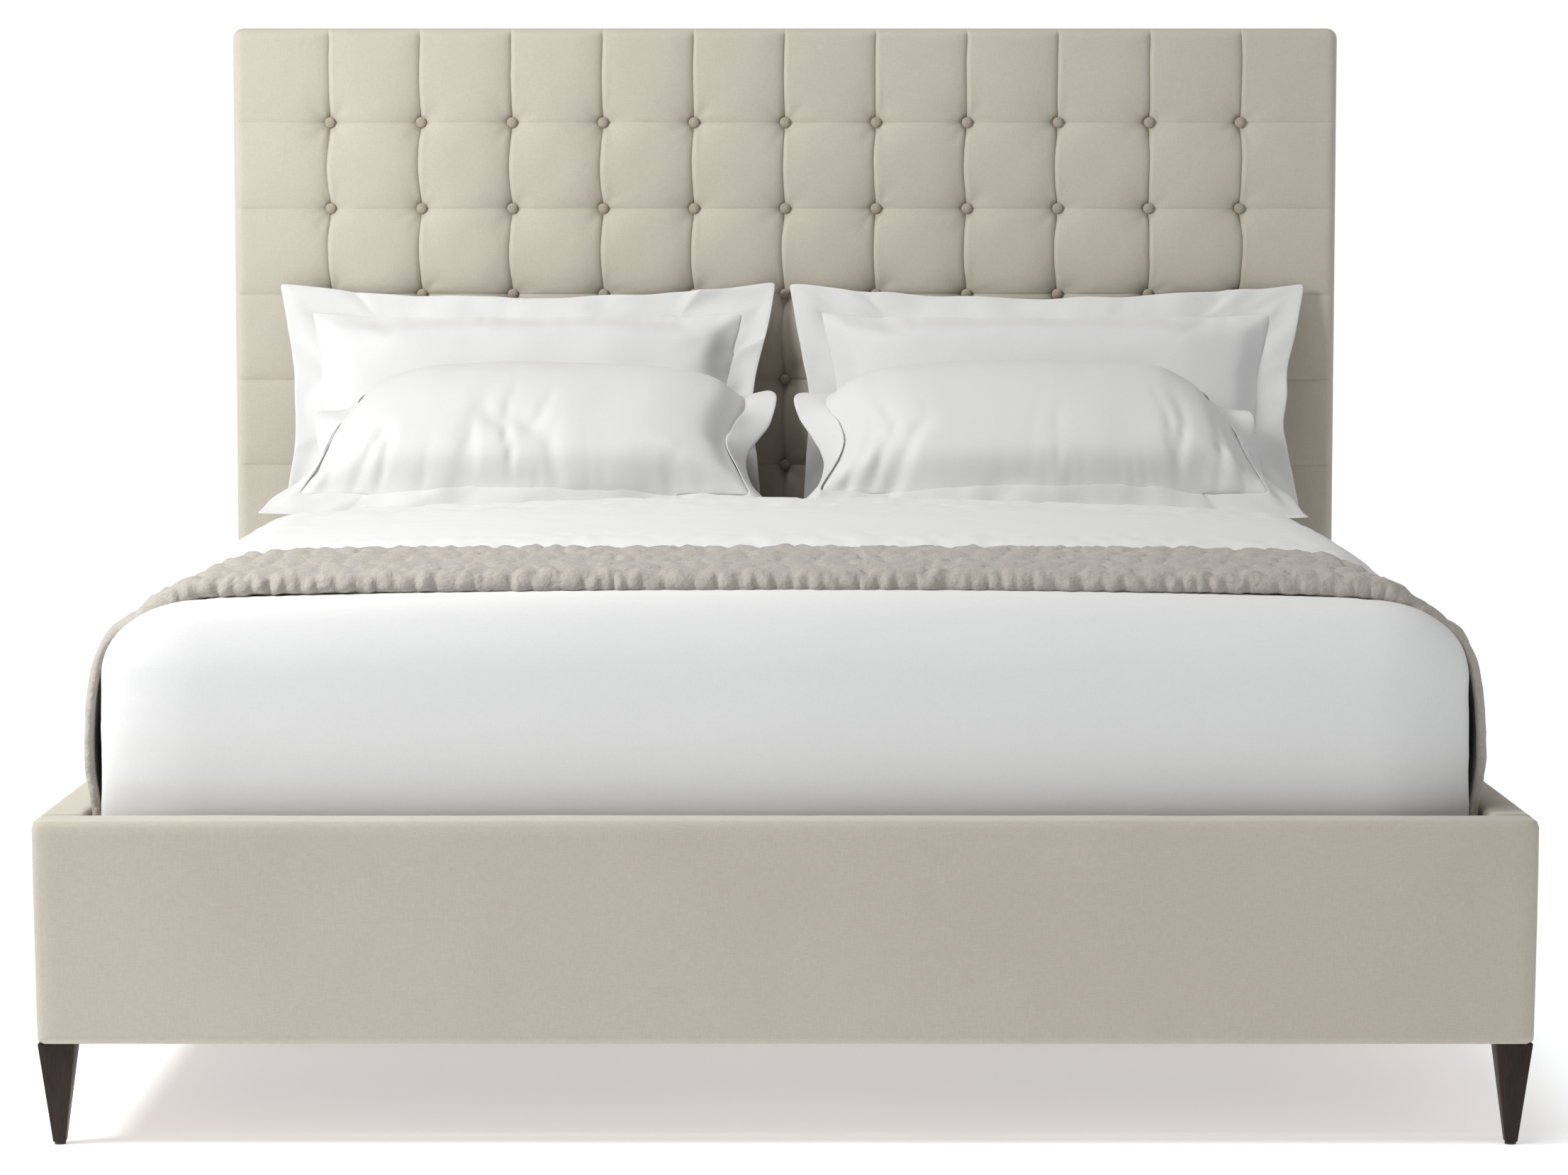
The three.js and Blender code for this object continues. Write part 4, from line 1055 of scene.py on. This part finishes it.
class BED_OT_coverlet(bpy.types.Operator):
    """Make the folded, puckered coverlet across the foot of the bed"""

    bl_idname = "bed.coverlet"
    bl_label = "Coverlet"

    def execute(self, context):
        settings = context.scene.bed_bedding
        low, high = corner("coverlet")
        columns = 600
        path, outward, along = coverlet_path(low, high, columns)
        length_y = high[1] - low[1]
        nose, end = 0.017, length_y - 0.001
        places = np.array([k * STITCH_PITCH + at for k in range(8) for at in STITCH_ROWS])
        places = np.concatenate([[nose], places[(places > 0.021) & (places < length_y - 0.004)], [end]])
        under, rim, over = 2, 14, len(places) - 1
        rows = under + rim + over

        def place(u, v):
            k = np.clip(np.round(u * columns).astype(int), 0, columns)
            row = np.clip(np.round(v * rows).astype(int), 0, rows)
            base, normal, s = path[k], outward[k], along[k]
            x = base[:, 0]
            # the fold is fullest at the middle, thinner where it turns down the sides
            flatness = step(normal[:, 1], 0.45, 0.97)
            part = (row > under).astype(int) + (row > under + rim)
            a, b, c = row / under, (row - under) / rim, (row - under - rim) / over
            bend = np.pi * np.clip(b, 0.0, 1.0)
            upper = np.interp(np.clip(c, 0, 1) * over, np.arange(over + 1), places)
            t = np.select([part == 0, part == 1], [end - (end - nose) * a, nose - nose * np.sin(bend)], upper)
            full = 0.0165 + 0.0165 * flatness
            lean = 0.0125 + 0.0045 * flatness
            inner = lean + (full - lean) * (1.0 - step(t, 0.02, 0.11))
            sink = 0.006 * step(t, 0.03, 0.30) * flatness
            depth = np.select([part == 0, part == 1], [inner, inner / 2 * (1 + np.cos(bend))], 0.0)
            depth = depth + sink
            # rows of puffs between stitched lines, each puff gathered a little differently
            spot = stacked(s, 0.0, t)
            phase = t / STITCH_PITCH
            line = np.abs(np.sin(np.pi * phase)) ** 0.7
            band = np.floor(phase)
            jitter = lumps(stacked(band * 7.3, 0.0, s / 0.11), 1.0, 105)
            puff = np.abs(np.sin(np.pi * (s / 0.047 + 0.9 * jitter + 0.37 * band))) ** 0.7
            gather = lumps(stacked(s / 0.011, band * 3.7, t / 0.02), 1.0, 102)
            diagonal = lumps(stacked((s + 0.8 * t) / 0.02, (s - 0.8 * t) / 0.06, 0.0), 1.0, 104)
            relief = 0.85 * (1 - line) + 0.50 * (1 - puff) * line
            relief = relief + 0.32 * (0.5 - 0.5 * gather) + 0.30 * (0.5 - 0.5 * diagonal)
            relief = relief * (0.3 + 0.7 * flatness)
            amount = np.where(part == 0, 0.0, np.where(part == 1, np.sin(bend / 2) ** 0.5, 1.0))
            depth = depth + relief * settings.pucker * amount
            drift = 0.007 * lumps(spot, 0.09, 101) * step(t, 0.03, 0.09) * (1 - step(t, end - 0.08, end))
            t = t + np.where(part == 2, drift, 0.0)
            # the front fold is dented by its stitches
            dent = np.abs(np.sin(np.pi * (s / 0.027 + 0.8 * lumps(stacked(s / 0.09, 0.0, 0.0), 1.0, 107)))) ** 0.45
            soft = 0.5 - 0.5 * lumps(stacked(s / 0.012, b * 1.6, 0.0), 1.0, 108)
            press = np.where(part == 1, (0.0060 * (1 - dent) + 0.0050 * soft) * np.sin(bend) ** 0.7, 0.0)
            wander = 0.0022 * swell(stacked(s / 0.12, 0.0, 0.0), 1.0, 109)
            t = t + press + np.where(part <= 1, wander, 0.0)
            # a seam crosses the coverlet a little right of its middle
            depth = depth + 0.0022 * np.exp(-(((x - 0.112) / 0.0028) ** 2)) * (part == 2)
            # the hanging ends wander in and out
            hanging = (1 - step(normal[:, 1], 0.1, 0.5)) * (part > 0)
            depth = depth + 0.0035 * swell(spot, 0.05, 111) * hanging
            y = low[1] + np.clip(t, 0.0, length_y)
            return stacked(x - normal[:, 0] * depth, y, base[:, 1] - normal[:, 1] * depth)

        bm = cloth_grid(columns, rows, place)
        bm.normal_update()
        top = max(bm.faces, key=lambda f: f.calc_center_median().z)
        if top.normal.z < 0:
            bmesh.ops.reverse_faces(bm, faces=bm.faces)
        piece = add_piece("coverlet_folded", bm, "quilted_cotton", "mattress", ["coverlet"])
        wall(piece, 0.0048)
        return {"FINISHED"}


# ---------------------------------------------------------------- pillows


PILLOW_HEIGHT = 0.455
PILLOW_CELL = 0.0115
BORDER_ROWS = 4
SEWN_IN = 0.010  # how far a border runs inside the body


def pillow_start(width, height, border, seed):
    """A slim pillow with a single-layer border, the number of its body's faces and its body's vertices."""
    half = np.array([width / 2 - border, height / 2 - border])
    bm = bmesh.new()
    columns, rows = round(half[0] * 2 / PILLOW_CELL), round(half[1] * 2 / PILLOW_CELL)
    for side in (-1, 1):
        across = Vector((-side, 0, 0)) * half[0]
        matrix = Matrix(((across.x, 0, 0, 0), (0, 0, side, side * 0.0001), (0, half[1], 0, 0), (0, 0, 0, 1)))
        bmesh.ops.create_grid(bm, x_segments=columns, y_segments=rows, size=1.0, matrix=matrix)
    points = points_of(bm)
    a = np.clip(1 - (points[:, 0] / half[0]) ** 2, 0, 1)
    b = np.clip(1 - (points[:, 2] / half[1]) ** 2, 0, 1)
    points[:, 1] = np.sign(points[:, 1]) * 0.030 * np.sqrt(a * b)
    points[:, 1] += 0.0012 * lumps(points, 0.05, seed) * np.sqrt(a * b)
    set_points(bm, points)
    bmesh.ops.remove_doubles(bm, verts=bm.verts, dist=1e-5)
    merged, bm = bm, bm.copy()  # the copy numbers the border's vertices after the body's
    merged.free()
    body_faces, body_verts = len(bm.faces), len(bm.verts)

    def on_seam(edge):
        a, b = (v.co for v in edge.verts)
        sides = any(abs(a[k] - b[k]) < 1e-6 and abs(abs(a[k]) - limit) < 1e-5 for k, limit in zip((0, 2), half))
        return sides and abs(a.y) < 1e-4 and abs(b.y) < 1e-4

    ring = [e for e in bm.edges if on_seam(e)]
    for k in range(1, BORDER_ROWS + 1):
        verts, ring = extruded(bm, ring)
        before, after = half + border * (k - 1) / BORDER_ROWS, half + border * k / BORDER_ROWS
        for v in verts:
            v.co.x *= after[0] / before[0]
            v.co.z *= after[1] / before[1]
            v.co.y = 0.0015 * math.sin(v.co.x * 31 + seed) * math.sin(v.co.z * 37 + seed)
    return bm, body_faces, body_verts


FILL_FRAMES = 16
FILLING = {
    "quality": 5,
    "mass": 1.0,
    "air_damping": 5.0,
    "tension_stiffness": 14.0,
    "compression_stiffness": 12.0,
    "shear_stiffness": 5.0,
    "bending_stiffness": 0.25,
    "use_pressure": True,
    "uniform_pressure_force": 5.0,
    "vertex_group_pressure": "filled",
}


def blow_up(piece, body_verts, frames):
    """Fills the pillow by a short cloth simulation and keeps the result."""
    scene = bpy.context.scene
    filled = piece.vertex_groups.new(name="filled")
    filled.add(list(range(body_verts)), 1.0, "REPLACE")
    cloth = piece.modifiers.new("Fill", "CLOTH")
    cloth.point_cache.frame_start, cloth.point_cache.frame_end = 1, frames
    for key, value in FILLING.items():
        setattr(cloth.settings, key, value)
    cloth.settings.effector_weights.gravity = 0.0
    cloth.collision_settings.use_self_collision = False
    for number in range(1, frames + 1):
        scene.frame_set(number)
    graph = bpy.context.evaluated_depsgraph_get()
    mesh = bpy.data.meshes.new_from_object(piece.evaluated_get(graph))
    piece.modifiers.clear()
    piece.vertex_groups.clear()
    piece.data = mesh
    scene.frame_set(1)


def drawn(place, table):
    """A value read from a short table of (place, value) pairs, smoothly."""
    places, values = zip(*table)
    fine = np.linspace(places[0], places[-1], 161)
    even = np.interp(fine, places, values)
    for _ in range(40):
        even[1:-1] = (even[:-2] + 2 * even[1:-1] + even[2:]) / 4
    return np.interp(place, fine, even)


# outer and inner: metres by which a side draws in, at heights from -1 to 1; their borders: the share that shows.
# lean: degrees from its lower edge to its upper one; sides: metres added at the left and right of each CAD box
SHAM_SHAPE = {
    "lean": (24.0, 30.0, 26.0, 22.0),
    "sides": {"left": (-0.022, -0.006), "right": (-0.008, 0.044)},
    "creased": 0.2,
    "outer": ((-1, 0.030), (-0.3, 0.046), (0.2, 0.038), (0.6, 0.018), (1, 0.0)),
    "inner": ((-1, 0.026), (-0.3, 0.042), (0.2, 0.034), (0.6, 0.014), (1, 0.0)),
    "outer_border": ((-1, 1.0), (1, 1.0)),
    "inner_border": ((-1, 1.0), (1, 1.0)),
    "top_sag": 0.030,
}
PILLOW_SHAPE = {
    "lean": (44.0, 44.0, 50.0, 62.0, 84.0, 100.0),
    "sides": {"left": (0.003, -0.006), "right": (0.006, -0.006)},
    "creased": 1.0,
    "outer": ((-1, 0.0), (-0.78, 0.010), (-0.44, 0.045), (0.0, 0.072), (0.35, 0.100), (0.78, 0.130), (1, 0.135)),
    "inner": (
        (-1, 0.0), (-0.78, -0.014), (-0.45, 0.020), (-0.25, 0.034), (0.0, 0.020), (0.2, 0.002), (0.4, 0.0),
        (0.78, 0.030), (1, 0.040),
    ),
    "outer_border": (
        (-1, 1.0), (-0.7, 0.9), (-0.5, 0.5), (-0.2, 0.35), (-0.05, 0.6), (0.08, 1.1), (0.25, 1.1), (0.4, 0.5),
        (0.55, 0.3), (1, 0.3),
    ),
    "inner_border": (
        (-1, 1.0), (-0.75, 0.65), (-0.57, 0.4), (-0.3, 0.55), (0.0, 0.85), (0.3, 1.05), (0.6, 1.15), (0.75, 0.95),
        (0.9, 0.5), (1, 0.4),
    ),
    "top_sag": 0.010,
}


def make_pillow(name, kind, side, seed, settings, shape):
    """One pillow: blown up flat, given its thickness and outline, leaned back and set down in its place."""
    name, node_name = name + side, kind + side
    low, high = corner(node_name)
    low[0], high[0] = low[0] + shape["sides"][side][0], high[0] + shape["sides"][side][1]
    width, height, border = high[0] - low[0], PILLOW_HEIGHT, settings.pillow_border
    bm, body_faces, body_verts = pillow_start(width, height, border, seed)
    flat = points_of(bm)
    start = linked(name + "_start", mesh_of(name + "_start", bm))
    blow_up(start, body_verts, FILL_FRAMES)
    bm = bmesh.new()
    bm.from_mesh(start.data)
    bpy.data.objects.remove(start)
    points = points_of(bm)
    y = points[:, 1] - (points[:, 1].max() + points[:, 1].min()) / 2
    y *= settings.pillow_loft / (y.max() - y.min())
    seam = np.array([width / 2, height / 2])[None, :] - border - np.abs(flat[:, [0, 2]])
    nearest = seam.min(axis=1)
    y *= 0.45 + 0.55 * step(nearest, -0.01, 0.055)
    # gathers run in from the seam, and longer creases rise from the lower one where the pillow is sat up
    inside = step(nearest, -0.004, 0.01)
    front_side = (y < 0).astype(float)
    along_seam = np.where(seam[:, 1] < seam[:, 0], flat[:, 0], flat[:, 2])
    gathers = 1.0 - np.abs(lumps(stacked(along_seam / 0.023, 0.0, nearest / 0.16), 1.0, seed + 7))
    depth = 0.0055 * gathers**3 * np.exp(-np.clip(nearest, 0, 1) / 0.030)
    sway = flat[:, 0] * (1.0 - 0.5 * flat[:, 2]) + 0.010 * np.sin(flat[:, 2] * 31 + flat[:, 0] * 9 + seed)
    rises = 1.0 - np.abs(lumps(stacked(sway / 0.036, 0.0, flat[:, 2] / 0.15), 1.0, seed + 8))
    patches = step(lumps(flat * (1.0, 0.0, 0.4), 0.15, seed + 9), -0.30, 0.35)
    reach = np.exp(-(((flat[:, 2] + 0.105) / 0.085) ** 2)) * patches
    depth += shape["creased"] * 0.015 * rises**4 * reach * front_side
    depth += 0.0025 * lumps(flat, 0.085, seed + 10)
    y += np.where(y < 0, 1.0, -1.0) * depth * inside
    level_flat = flat * (1.0, 0.0, 1.0)
    y += (1.0 - inside) * (0.0050 * lumps(level_flat, 0.050, seed + 11) + 0.0040 * lumps(level_flat, 0.12, seed + 12))
    # its outline: sides drawn in, upper edge sagging between the corners, borders turned back where they don't show
    share, level = flat[:, 0] / (width / 2), flat[:, 2] / (height / 2)
    outer_side = (flat[:, 0] < 0) == (low[0] < 0)
    draw = np.where(outer_side, drawn(level, shape["outer"]), drawn(level, shape["inner"]))
    shown = np.where(outer_side, drawn(level, shape["outer_border"]), drawn(level, shape["inner_border"]))
    beyond = np.clip(-seam[:, 0], 0.0, border)
    body_half = width / 2 - border
    x = np.sign(flat[:, 0]) * (np.abs(flat[:, 0]) - beyond) * (1.0 - draw / body_half)
    x += np.sign(flat[:, 0]) * beyond * shown
    y += beyond * np.sqrt(np.clip(1.0 - shown**2, 0.0, 1.0)) * 0.9
    x += 0.0035 * lumps(stacked(0.0, 0.0, flat[:, 2]), 0.06, seed + 13) * step(-seam[:, 0], -0.04, 0.03)
    sag = shape["top_sag"] * (1.0 - share**2) * step(level, -0.2, 1.0)
    sag += 0.0025 * lumps(stacked(flat[:, 0], 0.0, 0.0), 0.07, seed + 14) * step(np.abs(level), 0.5, 1.0)
    points = stacked(x, y, flat[:, 2] - sag)
    # it leans back along a curve
    lean = shape["lean"]
    rise = np.linspace(-height / 2, height / 2, 200)
    slope = np.radians(np.interp(rise, np.linspace(-height / 2, height / 2, len(lean)), lean))
    gap = rise[1] - rise[0]
    back, up = np.cumsum(np.sin(slope)) * gap, np.cumsum(np.cos(slope)) * gap
    h = points[:, 2]
    here = np.interp(h, rise, slope)
    turned = stacked(
        points[:, 0],
        np.interp(h, rise, back) + points[:, 1] * np.cos(here),
        np.interp(h, rise, up) - points[:, 1] * np.sin(here),
    )
    turned[:, 0] += (low[0] + high[0]) / 2
    turned[:, 1] += low[1] - 0.005 - turned[:, 1].min()
    turned[:, 2] += low[2] - 0.006 - turned[:, 2].min()
    # it lies against the headboard and not in it
    turned[:, 1] = np.minimum(turned[:, 1], corner("headboard_pad")[0][1] - 0.004)
    set_points(bm, turned)
    loose = bm.copy()
    loose.verts.ensure_lookup_table()
    seam_verts = loose.verts[:body_verts]
    for part, spare in ((loose, slice(0, body_faces)), (bm, slice(body_faces, None))):
        part.faces.ensure_lookup_table()
        bmesh.ops.delete(part, geom=part.faces[spare], context="FACES")
    # the border is sewn in: it runs a little way inside the body
    seam_verts = {v for v in seam_verts if v.is_valid}
    seam_edges = [e for e in loose.edges if e.is_boundary and seam_verts.issuperset(e.verts)]
    outer_of = {
        v: next(e.other_vert(v) for e in v.link_edges if e.other_vert(v) not in seam_verts) for v in seam_verts
    }
    for v in extruded(loose, seam_edges)[0]:
        source = next(e.other_vert(v) for e in v.link_edges if e.other_vert(v) in seam_verts)
        v.co = source.co + (source.co - outer_of[source].co).normalized() * SEWN_IN
    bmesh.ops.recalc_face_normals(loose, faces=loose.faces)
    hemmed = linked(name + "_border", mesh_of(name + "_border", loose))
    wall(hemmed, 0.0026).offset = 0.0
    thick = bpy.data.meshes.new_from_object(hemmed.evaluated_get(bpy.context.evaluated_depsgraph_get()))
    bpy.data.objects.remove(hemmed)
    bmesh.ops.recalc_face_normals(bm, faces=bm.faces)
    bm.from_mesh(thick)
    # shams and pillows take the white linen painted darker with shade
    piece = add_piece(name, bm, "pillow_linen", node_name, [node_name])
    smoother = piece.modifiers.new("Smooth", "SUBSURF")
    smoother.levels = smoother.render_levels = 1


class BED_OT_pillows(bpy.types.Operator):
    """Make the two shams and the two pillows in front of them"""

    bl_idname = "bed.pillows"
    bl_label = "Pillows"

    def execute(self, context):
        settings = context.scene.bed_bedding
        for n, side in enumerate(("left", "right")):
            make_pillow("sham_filled_", "sham_", side, 201 + n, settings, SHAM_SHAPE)
            make_pillow("pillow_filled_", "pillow_", side, 211 + n, settings, PILLOW_SHAPE)
        return {"FINISHED"}


# ---------------------------------------------------------------- stage


class BED_OT_stage(bpy.types.Operator):
    """Make the floor, the lights and the camera"""

    bl_idname = "bed.stage"
    bl_label = "Stage"

    def execute(self, context):
        scene = context.scene
        scene.view_settings.view_transform = "Standard"
        bm = bmesh.new()
        bmesh.ops.create_grid(bm, x_segments=4, y_segments=4, size=40.0)
        floor = linked("floor", mesh_of("floor", bm))
        made, tree, shader, coords = new_material("studio_floor", 0.95)
        cloud = node(tree, "ShaderNodeTexNoise", {"Vector": coords, "Scale": 0.6, "Detail": 2.0}).outputs["Fac"]
        tree.links.new(between(tree, cloud, (0.905, 0.92, 0.935), (0.925, 0.94, 0.955)), shader.inputs["Base Color"])
        shader.inputs["Emission Color"].default_value = (0.955, 0.978, 1.0, 1.0)
        shader.inputs["Emission Strength"].default_value = 0.49
        floor.data.materials.append(made)

        world = scene.world or bpy.data.worlds.new("World")
        scene.world = world
        world.use_nodes = True
        tree = world.node_tree
        tree.nodes.clear()
        white = (1.0, 1.0, 1.0, 1.0)
        lit = node(tree, "ShaderNodeBackground", {"Color": white, "Strength": 0.29}).outputs[0]
        seen = node(tree, "ShaderNodeBackground", {"Color": white, "Strength": 1.0}).outputs[0]
        to_camera = node(tree, "ShaderNodeLightPath").outputs["Is Camera Ray"]
        mix = node(tree, "ShaderNodeMixShader", {0: to_camera, 1: lit, 2: seen})
        node(tree, "ShaderNodeOutputWorld", {"Surface": mix.outputs[0]})

        for name, kind, place, aim, size, power in (
            ("overhead", "SUN", (-1.8, -1.6, 8.0), (0.0, 0.0, 0.0), 0.40, 1.10),
            ("key", "AREA", (-2.45, -1.45, 2.55), (0.1, 1.0, 0.9), 1.0, 96.0),
        ):
            light = bpy.data.lights.new(name, kind)
            light.energy = power
            if kind == "SUN":
                light.angle = size
            else:
                light.shape, light.size = "DISK", size
            lamp = linked(name, light)
            lamp.location = place
            lamp.rotation_mode = "QUATERNION"
            lamp.rotation_quaternion = (Vector(aim) - Vector(place)).to_track_quat("-Z", "Y")

        camera = linked("camera", bpy.data.cameras.new("camera"))
        camera.data.sensor_width, camera.data.lens = 36.0, 95.43
        camera.location = (-0.0018, CAD_BOX[0].y - 5.646, 1.2318)
        camera.rotation_euler = (math.radians(90.0 - 4.623), 0.0, 0.0)
        scene.camera = camera
        return {"FINISHED"}


# ---------------------------------------------------------------- add-on


OPERATORS = (
    BED_OT_stage,
    BED_OT_headboard_cover,
    BED_OT_headboard_buttons,
    BED_OT_headboard_back,
    BED_OT_footboard,
    BED_OT_side_rails,
    BED_OT_legs,
    BED_OT_timber,
    BED_OT_foundations,
    BED_OT_mattress,
    BED_OT_comforter,
    BED_OT_coverlet,
    BED_OT_pillows,
)


class BED_PT_pieces(bpy.types.Panel):
    """Sizes, colours and pieces of the bed"""

    bl_idname = "BED_PT_pieces"
    bl_label = "Upholstered Headboard Bed"
    bl_space_type = "VIEW_3D"
    bl_region_type = "UI"
    bl_category = "Bed"

    def draw(self, context):
        for name, group in SETTINGS.items():
            box = self.layout.box()
            for key in group.__annotations__:
                box.prop(getattr(context.scene, name), key)
        for operator in OPERATORS:
            self.layout.operator(operator.bl_idname)


CLASSES = (*SETTINGS.values(), *OPERATORS, BED_PT_pieces)


def register():
    for made in CLASSES:
        bpy.utils.register_class(made)
    for name, group in SETTINGS.items():
        setattr(bpy.types.Scene, name, bpy.props.PointerProperty(type=group))


def unregister():
    for name in SETTINGS:
        delattr(bpy.types.Scene, name)
    for made in reversed(CLASSES):
        bpy.utils.unregister_class(made)


def main():
    register()
    bpy.ops.bed.stage()
    bpy.ops.bed.headboard_cover()
    bpy.ops.bed.headboard_buttons()
    bpy.ops.bed.headboard_back()
    bpy.ops.bed.footboard()
    bpy.ops.bed.side_rails()
    bpy.ops.bed.legs()
    bpy.ops.bed.timber()
    bpy.ops.bed.foundations()
    bpy.ops.bed.mattress()
    bpy.ops.bed.comforter()
    bpy.ops.bed.coverlet()
    bpy.ops.bed.pillows()


if __name__ == "__main__":
    main()
